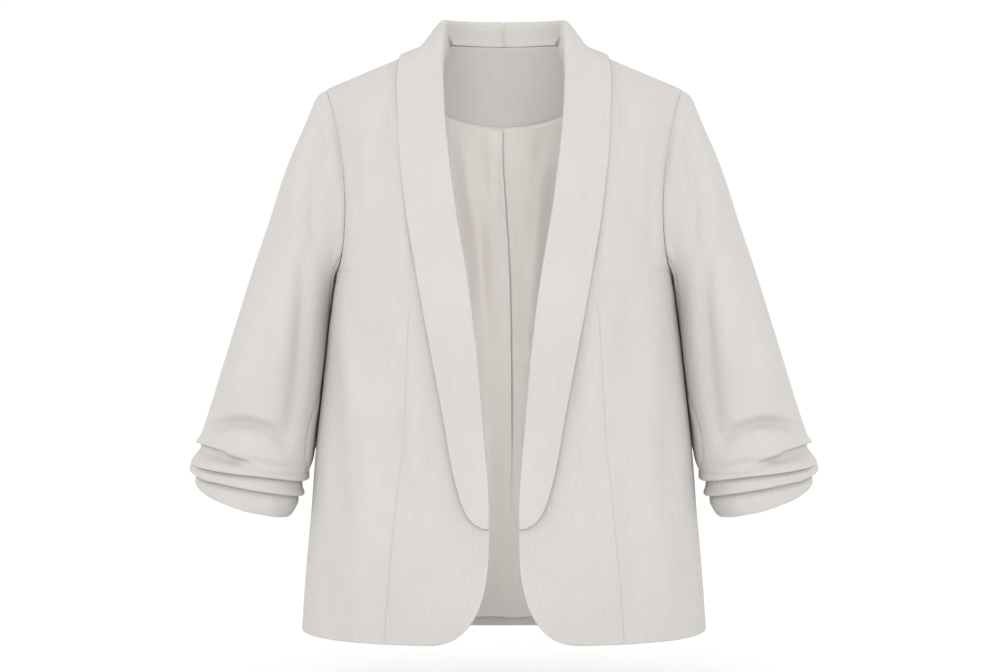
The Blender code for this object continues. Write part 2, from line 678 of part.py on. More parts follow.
def lining_faces():
    """The back lining, with the fold of its centre pleat standing off to the wearer's right."""
    columns = np.array(LINING_COLUMNS)
    upper = np.array(LINING_UPPER)[:, None]
    lower = np.array(LINING_LOWER)[:, None]
    z = np.concatenate([UNDERARM_Z * upper, UNDERARM_Z + (LINING_HEM_Z - UNDERARM_Z) * lower])
    z = np.repeat(z, len(columns), axis=1)
    count = len(upper)
    for _ in range(REFINEMENTS):
        reach = np.where(z > UNDERARM_Z, armhole_back(z), half_width(z)) - LINING_INSET
        x = reach * signed_power(np.sin(columns * math.pi / 2), 2 / SQUARENESS)
        x = x + pleat_fold(z) * np.clip(1 - np.abs(columns) / PLEAT_REACH, 0, 1)
        top = lining_top(x[:count])
        z[:count] = top + (UNDERARM_Z - top) * upper
    angles = math.pi - angle_at(x, z)
    from_fold = pleat_fold(z) + PLEAT_TUCK - x
    raised = np.clip(1 - from_fold / PLEAT_WIDTH, 0, 1) * (from_fold > 0)
    fade = np.clip((z - PLEAT_END_Z) / PLEAT_FADE, 0, 1) * (z < PLEAT_TOP_Z)
    under = SHELL_WALL + LINING_GAP + PLEAT_DEPTH * raised * fade
    return [skin(angles, z, under[..., None]), skin(angles, z, under[..., None] + LINING_WALL)]


def cloth_mesh(name, outer, inner):
    """A closed wall between two grids of points, facing out."""
    rows, columns = outer.shape[:2]
    mesh = bpy.data.meshes.new(name)
    shape = bmesh.new()
    sides = []
    for points in (outer, inner):
        sides.append([[shape.verts.new(points[r, c]) for c in range(columns)] for r in range(rows)])
    front, back = sides
    for r in range(rows - 1):
        for c in range(columns - 1):
            shape.faces.new((front[r][c], front[r + 1][c], front[r + 1][c + 1], front[r][c + 1]))
            shape.faces.new((back[r][c], back[r][c + 1], back[r + 1][c + 1], back[r + 1][c]))
    around = [(0, c) for c in range(columns)]
    around += [(r, columns - 1) for r in range(1, rows)]
    around += [(rows - 1, c) for c in range(columns - 2, -1, -1)]
    around += [(r, 0) for r in range(rows - 2, 0, -1)]
    for here, there in zip(around, around[1:] + around[:1]):
        corners = (front[here[0]][here[1]], front[there[0]][there[1]],
                   back[there[0]][there[1]], back[here[0]][here[1]])
        shape.faces.new(corners)
    bmesh.ops.triangulate(shape, faces=shape.faces)
    bmesh.ops.recalc_face_normals(shape, faces=shape.faces)
    if shape.calc_volume(signed=True) < 0:
        bmesh.ops.reverse_faces(shape, faces=shape.faces)
    shape.to_mesh(mesh)
    shape.free()
    return mesh


def cloth_material(name, colour, roughness):
    material = bpy.data.materials.new(name)
    material.use_nodes = True
    shader = material.node_tree.nodes["Principled BSDF"]
    shader.inputs["Base Color"].default_value = (*colour, 1)
    shader.inputs["Roughness"].default_value = roughness
    shader.inputs["Metallic"].default_value = 0
    material.diffuse_color = (*colour, 1)
    return material


def add_piece(name, faces, material, mirrored=False):
    """Adds one piece of cloth; a mirrored one is the wearer's right."""
    side = np.array([-1, 1, 1]) if mirrored else np.ones(3)
    mesh = cloth_mesh(name, faces[0] * side, faces[1] * side)
    mesh.materials.append(material)
    mesh.shade_smooth()
    mesh.set_sharp_from_angle(angle=math.radians(40))
    piece = bpy.data.objects.new(name, mesh)
    bpy.context.scene.collection.objects.link(piece)


def add_both_sides(name, faces, material):
    for side, mirrored in (("left", False), ("right", True)):
        add_piece(f"{name}_{side}", faces, material, mirrored)


def add_sleeves(material):
    places = np.arange(len(SLEEVE_SECTIONS))
    outer, inner, turn = sleeve_faces(places, UPPER_ROWS)
    front_seam = math.pi - FRONT_SEAM_ANGLE
    back_seam = math.pi + BACK_SEAM_ANGLE
    top = sleeve_piece((outer, inner), turn, back_seam, front_seam)
    under = sleeve_piece((outer, inner), turn, front_seam, back_seam)
    add_both_sides("sleeve_top", top, material)
    add_both_sides("sleeve_under", under, material)


def main():
    for item in list(bpy.data.objects):
        bpy.data.objects.remove(item)
    shell = cloth_material("shell cloth", SHELL_COLOUR, 0.85)
    facing = cloth_material("facing cloth", FACING_COLOUR, 0.85)
    lining = cloth_material("lining cloth", LINING_COLOUR, 0.55)
    add_both_sides("front", front_faces(FRONT_COLUMNS, UPPER_ROWS, LOWER_ROWS), shell)
    add_piece("back", back_faces(BACK_COLUMNS, UPPER_ROWS, LOWER_ROWS), shell)
    add_both_sides("collar", collar_faces(), shell)
    add_piece("back_neck_facing", facing_faces(), facing)
    add_piece("back_lining", lining_faces(), lining)
    add_sleeves(shell)


main()
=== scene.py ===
"""A shawl-collar blazer with gathered three-quarter sleeves: its cloth, seams, folds and finishes.

+Z is up, the fronts face -Y and the wearer's left is +X. Every piece of cloth follows the surface that the
CAD piece of the same name follows, in much finer rows, and carries the seams, creases and tucks.
"""

import math
from collections import namedtuple

import bpy
import numpy as np
from bpy.props import FloatProperty, FloatVectorProperty, PointerProperty
from bpy.types import Operator, Panel, PropertyGroup
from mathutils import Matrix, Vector


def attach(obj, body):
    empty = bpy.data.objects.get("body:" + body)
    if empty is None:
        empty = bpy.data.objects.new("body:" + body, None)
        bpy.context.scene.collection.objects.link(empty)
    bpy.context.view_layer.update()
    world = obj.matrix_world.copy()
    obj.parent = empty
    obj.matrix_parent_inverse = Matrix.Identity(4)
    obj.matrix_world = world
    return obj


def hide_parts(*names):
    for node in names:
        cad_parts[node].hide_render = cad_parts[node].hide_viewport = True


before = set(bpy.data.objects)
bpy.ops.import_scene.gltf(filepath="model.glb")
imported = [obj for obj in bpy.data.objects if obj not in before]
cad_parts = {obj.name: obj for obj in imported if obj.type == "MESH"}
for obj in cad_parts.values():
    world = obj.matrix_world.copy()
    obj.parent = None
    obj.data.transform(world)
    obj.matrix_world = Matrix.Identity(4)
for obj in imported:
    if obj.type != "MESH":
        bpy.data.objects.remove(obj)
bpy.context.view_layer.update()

bl_info = {
    "name": "Shawl-collar blazer",
    "version": (1, 0, 0),
    "blender": (4, 5, 0),
    "location": "View3D > Sidebar > Blazer",
    "description": "Builds the cloth pieces of a shawl-collar blazer round their CAD frame",
    "category": "Object",
}

# Cloth: the walls, the gap at a seam, and the gaps between layers that lie on each other
SHELL_WALL = 0.0018
FACING_WALL = 0.0012
SEAM_GAP = 0.0003
LAYER_GAP = 0.0012
FACING_GAP = 0.0012
LINING_GAP = 0.0023
LINING_SEAM = 0.0009

# Shoulders and neck: the shoulder's tip, the shoulder line's fall, how far down its rounding reaches,
# and how square the body is seen from above (2 would be an ellipse)
TIP_X = 0.2035
TIP_Z = -0.0450
SHOULDER_SLOPE = 0.4327
NECK_ROUNDING = 0.020
NECK_Z = 0.0085
RIDGE_BACK = 0.030
UNDERARM_Z = -0.257
DOME_SHARE = 0.5
SQUARENESS = 2.5

# Hem and lower front corner
HEM_FRONT_Z = -0.6700
HEM_SIDE_Z = -0.6608
HEM_RISE_POWER = 1.6
CORNER_X = 0.086
CORNER_TOP_Z = -0.555
CORNER_POWER = 2.45
CORNER_COLUMN = 0.20

# Collar: its roll, and where the front's edge ends inside that roll
BREAK_Z = -0.5413
BREAK_LENGTH = 0.010
ROLL_RADIUS = 0.0021
NECK_ROLL_RADIUS = 0.0060
ROLL_SETBACK = 0.0048
ROLL_FULLNESS = 1.6
NOTCH_DEPTH = 0.0055
NOTCH_Z = -0.030
FOOT_GAP = 0.0009
LAPEL_TOP_Z = 0.002
LAPEL_LIFT_WAY = (0, -0.7, 0.7)
COLLAR_OUT = SHELL_WALL / 2 + LAYER_GAP
COLLAR_IN = 1.5 * SHELL_WALL + LAYER_GAP

# Back neck facing and lining
FACING_HALF_WIDTH = 0.108
FACING_CURVE_X = 0.115
FACING_NECK_X = 0.074
FACING_LOW_Z = -0.0814
FACING_RISE = 0.0700
LINING_HEM_Z = -0.6596
LINING_INSET = 0.004
PLEAT_DEPTH = 0.0026
PLEAT_WIDTH = 0.030
PLEAT_END_Z = -0.56
PLEAT_REACH = 0.5

# Sleeve: its seams, as angles round it from its innermost line, and how square its sections are
FRONT_SEAM_ANGLE = math.radians(36)
BACK_SEAM_ANGLE = math.radians(75)
SLEEVE_SQUARENESS = 0.92
UNDERARM_TURN = 1.6

Level = namedtuple("Level", "z half_width front_depth back_depth")
BODY_LEVELS = (
    Level(-0.700, 0.2335, 0.1290, 0.1210),
    Level(-0.593, 0.2262, 0.1245, 0.1130),
    Level(-0.497, 0.2172, 0.1210, 0.1020),
    Level(-0.412, 0.2081, 0.1195, 0.0950),
    Level(-0.330, 0.1991, 0.1215, 0.0990),
    Level(-0.267, 0.1917, 0.1240, 0.1070),
    Level(-0.200, 0.1900, 0.1180, 0.1120),
    Level(-0.150, 0.1930, 0.1090, 0.1110),
    Level(-0.113, 0.1980, 0.1020, 0.1080),
    Level(-0.045, 0.2120, 0.0920, 0.1030),
    Level(0.040, 0.2240, 0.0870, 0.0990),
)

Armhole = namedtuple("Armhole", "z front_x back_x")
ARMHOLE_LEVELS = (
    Armhole(-0.2505, 0.1872, 0.1882),
    Armhole(-0.2193, 0.1815, 0.1840),
    Armhole(-0.1863, 0.1800, 0.1828),
    Armhole(-0.1506, 0.1818, 0.1845),
    Armhole(-0.1127, 0.1867, 0.1885),
    Armhole(-0.0746, 0.1949, 0.1955),
    Armhole(-0.0454, 0.2035, 0.2035),
)

# The front edge: the line on which the collar rolls, then the edge below the break.
Edge = namedtuple("Edge", "z x")
FRONT_EDGE = (
    Edge(0.0340, 0.0690),
    Edge(-0.0275, 0.0694),
    Edge(-0.0645, 0.0677),
    Edge(-0.1128, 0.0635),
    Edge(-0.1840, 0.0544),
    Edge(-0.2694, 0.0402),
    Edge(-0.3512, 0.0301),
    Edge(-0.4485, 0.0221),
    Edge(-0.5048, 0.0175),
    Edge(-0.5413, 0.0167),
    Edge(-0.5550, 0.0169),
)

# Where the roll stands round the neck, from the centre back to the front.
NeckRoll = namedtuple("NeckRoll", "x y z edge_x edge_z foot_x foot_y")
NECK_ROLL = (
    NeckRoll(0.0000, 0.0650, 0.0375, 0.0000, -0.0180, 0.0000, 0.0665),
    NeckRoll(0.0300, 0.0590, 0.0372, 0.0420, -0.0180, 0.0300, 0.0592),
    NeckRoll(0.0550, 0.0370, 0.0360, 0.0820, -0.0180, 0.0545, 0.0440),
    NeckRoll(0.0672, 0.0060, 0.0340, 0.1080, -0.0120, 0.0705, 0.0140),
)
# The lapel, from the front of the shoulder to the break: where it rolls, and its outer edge.
Lapel = namedtuple("Lapel", "roll_z lift edge_x edge_z leg")
LAPEL = (
    Lapel(0.0080, 0.0200, 0.1180, -0.0192, 0.004),
    Lapel(-0.0275, 0.0030, 0.1199, -0.0425, 0.018),
    Lapel(-0.0645, 0.0010, 0.1183, -0.0731, 0.022),
    Lapel(-0.1128, 0.0000, 0.1162, -0.1122, 0.022),
    Lapel(-0.1840, 0.0000, 0.1088, -0.1810, 0.022),
    Lapel(-0.2694, 0.0000, 0.0950, -0.2640, 0.022),
    Lapel(-0.3512, 0.0000, 0.0795, -0.3480, 0.022),
    Lapel(-0.4280, 0.0000, 0.0653, -0.4250, 0.020),
    Lapel(-0.4739, 0.0000, 0.0569, -0.4739, 0.018),
    Lapel(-0.5048, 0.0000, 0.0500, -0.5020, 0.015),
    Lapel(-0.5230, 0.0000, 0.0430, -0.5220, 0.012),
    Lapel(-0.5350, 0.0000, 0.0340, -0.5350, 0.009),
    Lapel(-0.5413, 0.0000, 0.0235, -0.5414, 0.006),
)

# The sleeve's sections: its outermost and innermost points, half its depth, how far it hangs forward,
# how much lower its front is, and how far the section has turned from the armhole's shape to its own.
Section = namedtuple("Section", "outer_x outer_z inner_x inner_z depth forward drop own")
SLEEVE_SECTIONS = (
    Section(0.2035, -0.0454, 0.1910, -0.2570, 0.052, 0.000, 0.000, 0.00),
    Section(0.2145, -0.0570, 0.1930, -0.2600, 0.055, 0.000, 0.000, 0.12),
    Section(0.2308, -0.0925, 0.1946, -0.2660, 0.059, 0.000, 0.000, 0.38),
    Section(0.2500, -0.1380, 0.1962, -0.2760, 0.062, 0.001, 0.000, 0.68),
    Section(0.2684, -0.1951, 0.1985, -0.2920, 0.063, 0.002, 0.001, 0.90),
    Section(0.2830, -0.2386, 0.2012, -0.3130, 0.062, 0.003, 0.002, 1.00),
    Section(0.3125, -0.3314, 0.2070, -0.3690, 0.059, 0.005, 0.004, 1.00),
    Section(0.3396, -0.4193, 0.2140, -0.4350, 0.056, 0.007, 0.006, 1.00),
    Section(0.3492, -0.4483, 0.2165, -0.4640, 0.056, 0.008, 0.006, 1.00),
    Section(0.3473, -0.4551, 0.2185, -0.4730, 0.053, 0.008, 0.006, 1.00),
    Section(0.3560, -0.4680, 0.2215, -0.4810, 0.056, 0.008, 0.006, 1.00),
    Section(0.3586, -0.4758, 0.2255, -0.4890, 0.056, 0.008, 0.007, 1.00),
    Section(0.3520, -0.4850, 0.2300, -0.4990, 0.052, 0.008, 0.007, 1.00),
    Section(0.3530, -0.4937, 0.2325, -0.5120, 0.053, 0.008, 0.007, 1.00),
    Section(0.3486, -0.5016, 0.2435, -0.5318, 0.051, 0.008, 0.008, 1.00),
)

# The lining's centre pleat: where its fold hangs, drifting to the wearer's left on the way down.
PleatFold = namedtuple("PleatFold", "z x")
PLEAT_FOLD = (
    PleatFold(-0.070, -0.0014),
    PleatFold(-0.107, -0.0022),
    PleatFold(-0.170, 0.0012),
    PleatFold(-0.230, 0.0050),
    PleatFold(-0.290, 0.0073),
    PleatFold(-0.450, 0.0090),
)

NECK_COLUMN = 0.39

LAPEL_START = 0.17
NECK_SHARE = ((0, 0.10, 0.24, 1), (1, 1, 0, 0))


# The step, in metres or radians, over which slopes are measured, and how often a solution is refined
STEP = 1e-4
REFINEMENTS = 12




def smooth_column(rows, along, column):
    """A smooth curve through one column of a table, to be read at any place along another column."""
    rows = sorted(rows, key=lambda row: getattr(row, along))
    place = np.array([getattr(row, along) for row in rows])
    value = np.array([getattr(row, column) for row in rows])
    return smooth_through(place, value)


def smooth_through(place, value):
    """A cubic curve through values at rising places, which never swings past them."""
    place = np.asarray(place, float)
    value = np.asarray(value, float)
    slope = np.diff(value) / np.diff(place)
    before, after = slope[:-1], slope[1:]
    total = np.where(before + after == 0, 1, before + after)
    inner = np.where(before * after > 0, 2 * before * after / total, 0)
    tangent = np.concatenate([slope[:1], inner, slope[-1:]])

    def read(where):
        where = np.clip(where, place[0], place[-1])
        i = np.clip(np.searchsorted(place, where) - 1, 0, len(place) - 2)
        step = place[i + 1] - place[i]
        t = (where - place[i]) / step
        ends = value[i] * (1 + 2 * t) * (1 - t) ** 2 + value[i + 1] * t * t * (3 - 2 * t)
        bends = step * (tangent[i] * t * (1 - t) ** 2 - tangent[i + 1] * t * t * (1 - t))
        return ends + bends

    return read


half_width = smooth_column(BODY_LEVELS, "z", "half_width")
front_depth = smooth_column(BODY_LEVELS, "z", "front_depth")
back_depth = smooth_column(BODY_LEVELS, "z", "back_depth")
front_edge = smooth_column(FRONT_EDGE, "z", "x")
pleat_fold = smooth_column(PLEAT_FOLD, "z", "x")
neck_share = smooth_through(*NECK_SHARE)


def armhole_line(column):
    """The armhole's distance from the centre at each height; at the underarm it reaches the side."""
    side = float(half_width(UNDERARM_Z))
    rows = [Armhole(UNDERARM_Z, side, side), *ARMHOLE_LEVELS]
    return smooth_column(rows, "z", column)


armhole_front = armhole_line("front_x")
armhole_back = armhole_line("back_x")


def signed_power(value, exponent):
    return np.sign(value) * np.abs(value) ** exponent


def unit(vectors):
    return vectors / np.linalg.norm(vectors, axis=-1, keepdims=True)


def ridge_reach(x):
    """Distance from the centre, rounded off there so that both shoulders join smoothly."""
    return np.sqrt(x * x + NECK_ROUNDING**2)


def ridge_height(x):
    """Height of the shoulder line."""
    return TIP_Z + (TIP_X - ridge_reach(x)) * SHOULDER_SLOPE


def ridge_back(x):
    """How far behind the centre the shoulder line lies."""
    return RIDGE_BACK * np.clip(1 - ridge_reach(x) / TIP_X, 0, 1) ** 1.5


def dome(x, z):
    """0 on the shoulder line, rising to 1 where the shoulder's rounding ends."""
    share = (ridge_height(x) - z) / (ridge_height(x) - UNDERARM_Z)
    return np.sqrt(1 - (1 - np.clip(share / DOME_SHARE, 0, 1)) ** 2)


def torso_point(angle, z):
    """The body's surface. The angle is 0 at the centre front, a right angle at the left side."""
    x = half_width(z) * signed_power(np.sin(angle), 2 / SQUARENESS)
    facing = np.cos(angle)
    depth = np.where(facing > 0, -front_depth(z), back_depth(z))
    full = depth * np.abs(facing) ** (2 / SQUARENESS)
    rounding = dome(x, z)
    y = ridge_back(x) * (1 - rounding) + full * rounding
    return np.stack([x, y, np.broadcast_to(z, x.shape)], axis=-1)


def torso_normal(angle, z):
    around = torso_point(angle + STEP, z) - torso_point(angle - STEP, z)
    upward = torso_point(angle, z + STEP) - torso_point(angle, z - STEP)
    return unit(np.cross(around, upward))


def angle_at(x, z):
    """The angle, from the centre front or back, at which the body's surface reaches x."""
    share = np.clip(x / half_width(z), -1, 1)
    return np.arcsin(signed_power(share, SQUARENESS / 2))


def front_top(x):
    return ridge_height(x)


def back_top(x):
    return np.minimum(ridge_height(x), NECK_Z)


def row_height(top, share, x):
    """Height, at x, of the row that lies at a share of the way from the top line to the underarm."""
    return top(x) + (UNDERARM_Z - top(x)) * share


def height_on_row(top, share, line):
    """Where a row between the shoulder and the underarm crosses a line x(z)."""
    z = np.full(np.shape(share), UNDERARM_Z)
    for _ in range(REFINEMENTS):
        z = row_height(top, share, line(z))
    return z


def upper_rows(top, shares, first_line, last_line, columns):
    """Angles and heights of the rows above the underarm, between two lines x(z)."""
    shares = np.asarray(shares, float)[:, None]
    first_z = height_on_row(top, shares, first_line)
    last_z = height_on_row(top, shares, last_line)
    first = angle_at(first_line(first_z), first_z)
    last = angle_at(last_line(last_z), last_z)
    angles = first + (last - first) * np.asarray(columns, float)[None, :]
    z = first_z + (last_z - first_z) * np.asarray(columns, float)[None, :]
    for _ in range(REFINEMENTS):
        x = half_width(z) * signed_power(np.sin(angles), 2 / SQUARENESS)
        z = row_height(top, shares, x)
    return angles, z


def hem_height(turn):
    """The hem's height; turn runs from 0 at the centre to 1 at the side."""
    return HEM_FRONT_Z + (HEM_SIDE_Z - HEM_FRONT_Z) * np.clip(turn, 0, 1) ** HEM_RISE_POWER


def panel_edge(z):
    """The edge of the front: inside the collar's roll above the break, bare below it."""
    inside_roll = np.clip((z - BREAK_Z) / BREAK_LENGTH, 0, 1)
    notch = np.clip((z - NOTCH_Z) / -NOTCH_Z, 0, 1)
    return front_edge(z) + ROLL_SETBACK * inside_roll + NOTCH_DEPTH * notch


def front_grid(columns, upper, lower):
    """Angles and heights of the left front's rows, from the shoulder to the hem."""
    columns = np.asarray(columns, float)
    angles, z = upper_rows(front_top, upper, panel_edge, armhole_front, columns)
    edge_x = float(front_edge(CORNER_TOP_Z))
    turn = np.clip(columns / CORNER_COLUMN, 0, 1) * math.pi / 2
    corner_x = CORNER_X - (CORNER_X - edge_x) * signed_power(np.cos(turn), 2 / CORNER_POWER)
    corner_drop = (CORNER_TOP_Z - HEM_FRONT_Z) * signed_power(np.sin(turn), 2 / CORNER_POWER)
    corner = angle_at(corner_x, CORNER_TOP_Z - corner_drop)
    along_hem = np.clip((columns - CORNER_COLUMN) / (1 - CORNER_COLUMN), 0, 1)
    bottom = corner + (math.pi / 2 - corner[-1]) * along_hem
    bottom_z = np.where(columns < CORNER_COLUMN, CORNER_TOP_Z - corner_drop, hem_height(along_hem))
    share_at_hem = (bottom - bottom[0]) / (math.pi / 2 - bottom[0])
    share = np.asarray(lower, float)[:, None]
    low_z = UNDERARM_Z + (bottom_z - UNDERARM_Z) * share
    edge_angle = angle_at(panel_edge(low_z[:, :1]), low_z[:, :1])
    across = columns + (share_at_hem - columns) * share**2
    low_angles = edge_angle + (math.pi / 2 - edge_angle) * across
    return np.vstack([angles, low_angles]), np.vstack([z, low_z])


def back_grid(columns, upper, lower):
    """Angles from the centre back, and heights, of the back's left half."""
    columns = np.asarray(columns, float)
    neck_reach = TIP_X - (NECK_Z - TIP_Z) / SHOULDER_SLOPE
    neck_x = math.sqrt(neck_reach**2 - NECK_ROUNDING**2)

    def centre(z):
        return np.zeros(np.shape(z))

    def under_neck(z):
        return np.full(np.shape(z), neck_x)

    split = np.searchsorted(columns, NECK_COLUMN)
    inner = columns[: split + 1] / NECK_COLUMN
    outer = (columns[split + 1 :] - NECK_COLUMN) / (1 - NECK_COLUMN)
    near, near_z = upper_rows(back_top, upper, centre, under_neck, inner)
    far, far_z = upper_rows(back_top, upper, under_neck, armhole_back, outer)
    top_angles, top_z = np.hstack([near, far]), np.hstack([near_z, far_z])
    share = np.asarray(lower, float)[:, None]
    even = top_angles[-1] / (math.pi / 2)
    low_z = UNDERARM_Z + (hem_height(even) - UNDERARM_Z) * share
    low_angles = np.broadcast_to(top_angles[-1], low_z.shape)
    return np.vstack([top_angles, low_angles]), np.vstack([top_z, low_z])


def whole_back(half, z):
    """Both halves of the back, from the wearer's right to the left, as angles round the body."""
    angles = math.pi - np.hstack([-half[:, :0:-1], half])
    return angles, np.hstack([z[:, :0:-1], z])


def skin(angles, z, inward=0.0):
    """Points of the body's surface, moved inward along its normals."""
    return torso_point(angles, z) - inward * torso_normal(angles, z)


def grid_normals(points, closed=False):
    """Normals of a grid of points, from the differences of its neighbours."""
    down = np.gradient(points, axis=0)
    if closed:
        along = np.roll(points, -1, axis=1) - np.roll(points, 1, axis=1)
    else:
        along = np.gradient(points, axis=1)
    return unit(np.cross(down, along))


def armhole_loop(upper):
    """The left armhole from the shoulder tip down the front and up the back: points and normals."""
    front, front_z = front_grid((0, 1), upper, (1,))
    back, back_z = back_grid((0, NECK_COLUMN, 1), upper, (1,))
    rows = len(upper)
    angles = np.concatenate([front[:rows, -1], math.pi - back[rows - 2 : 0 : -1, -1]])
    z = np.concatenate([front_z[:rows, -1], back_z[rows - 2 : 0 : -1, -1]])
    return torso_point(angles, z), torso_normal(angles, z)


def sleeve_angles(loop, rows):
    """An angle for each point of the armhole: 0 at the shoulder tip, half a turn at the underarm."""
    steps = np.linalg.norm(np.diff(np.vstack([loop, loop[:1]]), axis=0), axis=1)
    walked = np.concatenate([[0], np.cumsum(steps)])
    front, whole = walked[rows - 1], walked[-1]
    walked = walked[:-1]
    down = walked / front
    up = 1 + (walked - front) / (whole - front)
    return math.pi * np.where(walked <= front, down, up)


def section_curve(column):
    """A smooth curve through a column of the sleeve's sections, read by section number."""
    values = [getattr(section, column) for section in SLEEVE_SECTIONS]
    return smooth_through(range(len(SLEEVE_SECTIONS)), values)


def torso_gauge(points):
    """Signed distance outside the body's surface, and the way out, near the shoulders and chest."""

    def implicit(p):
        x, y, z = p[..., 0], p[..., 1], p[..., 2]
        ridge, back = ridge_height(x), ridge_back(x)
        side = np.where(y < back, -front_depth(z), back_depth(z))
        reach = 1 - np.clip(np.abs(x) / half_width(z), 0, 0.999) ** SQUARENESS
        full = side * reach ** (1 / SQUARENESS)
        over = 1 - np.minimum((ridge - z) / (ridge - UNDERARM_Z) / DOME_SHARE, 1)
        return ((y - back) / (full - back)) ** 2 + over**2 - 1

    slope = np.stack(
        [(implicit(points + STEP * axis) - implicit(points - STEP * axis)) / (2 * STEP)
         for axis in np.eye(3)],
        axis=-1,
    )
    steepness = np.linalg.norm(slope, axis=-1)
    return implicit(points) / steepness, slope / steepness[..., None]


def kept_outside(points, least):
    """Points moved out until they are at least this far outside the body's surface."""
    for _ in range(REFINEMENTS):
        distance, way = torso_gauge(points)
        points = points + np.clip(least - distance, 0, None)[..., None] * way
    return points


def kept_inside(points, least):
    """Points moved in until they are at least this far inside the body's surface."""
    for _ in range(REFINEMENTS):
        distance, way = torso_gauge(points)
        points = points - np.clip(least + distance, 0, None)[..., None] * way
    return points


def front_point(x, z, out=0.0):
    return skin(angle_at(x, z), np.asarray(z, float), -out)


def back_point(x, z, out=0.0):
    return skin(math.pi - angle_at(x, z), np.asarray(z, float), -out)


def collar_lines():
    """The collar's foot, roll and outer edge, as points from the centre back to the break."""
    foot, roll, edge = [], [], []
    for place in NECK_ROLL:
        foot.append([place.foot_x, place.foot_y, NECK_Z + FOOT_GAP])
        roll.append([place.x, place.y, place.z])
        edge.append(back_point(place.edge_x, place.edge_z, COLLAR_OUT))
    for place in LAPEL:
        x = float(front_edge(place.roll_z))
        z = min(place.roll_z, LAPEL_TOP_Z)
        foot.append(front_point(x + place.leg, z, -COLLAR_IN))
        roll.append(front_point(x, z) + np.array(LAPEL_LIFT_WAY) * place.lift)
        edge.append(front_point(place.edge_x, place.edge_z, COLLAR_OUT))
    return np.array(foot), np.array(roll), np.array(edge)


def bezier(t, start, first, second, end):
    t = t[None, :, None]
    start, first, second, end = (p[:, None, :] for p in (start, first, second, end))
    return (1 - t) ** 3 * start + 3 * (1 - t) ** 2 * t * first + 3 * (1 - t) * t**2 * second + t**3 * end


def collar_middle(places, leg_shares, fall_shares):
    """The middle of the collar's cloth: a row for each place from the centre back to the break,
    running from its foot inside the neck, over the roll, to its outer edge."""
    foot, roll, edge = collar_lines()
    walked = np.concatenate([[0], np.cumsum(np.linalg.norm(np.diff(roll, axis=0), axis=1))])
    where = np.asarray(places, float) * walked[-1]

    def along(points, at):
        return np.stack([smooth_through(walked, points[:, i])(at) for i in range(3)], axis=-1)

    tangent = unit(along(roll, where + STEP) - along(roll, where - STEP))
    foot, roll, edge = along(foot, where), along(roll, where), along(edge, where)
    apex = roll - foot
    apex = unit(apex - np.sum(apex * tangent, axis=-1, keepdims=True) * tangent)
    outward = unit(np.cross(apex, tangent))
    outward = outward * np.sign(np.sum(outward * (edge - foot), axis=-1, keepdims=True))
    fall = np.linalg.norm(edge - roll, axis=-1, keepdims=True)
    leg = np.linalg.norm(roll - foot, axis=-1, keepdims=True)
    neck = neck_share(np.asarray(places, float))[:, None]
    bend = outward * ROLL_FULLNESS * (ROLL_RADIUS + (NECK_ROLL_RADIUS - ROLL_RADIUS) * neck)
    _, way = torso_gauge(edge)
    onto = edge - roll
    landing = unit(onto - np.sum(onto * way, axis=-1, keepdims=True) * way)
    fall_row = bezier(np.asarray(fall_shares), roll, roll + bend, edge - landing * fall / 2, edge)
    leg_row = bezier(np.asarray(leg_shares), foot, foot + apex * leg / 2, roll - bend, roll)
    fall_row[:, 1:] = kept_outside(fall_row[:, 1:], COLLAR_OUT)
    in_front = np.asarray(places) > LAPEL_START
    leg_row[in_front, :-1] = kept_inside(leg_row[in_front, :-1], COLLAR_IN)
    return leg_row, fall_row


def facing_low_edge(x):
    """Height of the back neck facing's lower edge, which curves up toward the shoulders."""
    bend = np.sqrt(np.clip(1 - (x / FACING_CURVE_X) ** 2, 0, 1))
    return FACING_LOW_Z + FACING_RISE * (1 - bend)


def lining_top(x):
    """The lining's upper line: the facing's edge near the neck, the shoulder line beyond it."""
    below_facing = facing_low_edge(x) - LINING_SEAM
    below_shoulder = ridge_height(x) - LINING_INSET
    return np.where(np.abs(x) < FACING_HALF_WIDTH, np.minimum(below_facing, below_shoulder), below_shoulder)




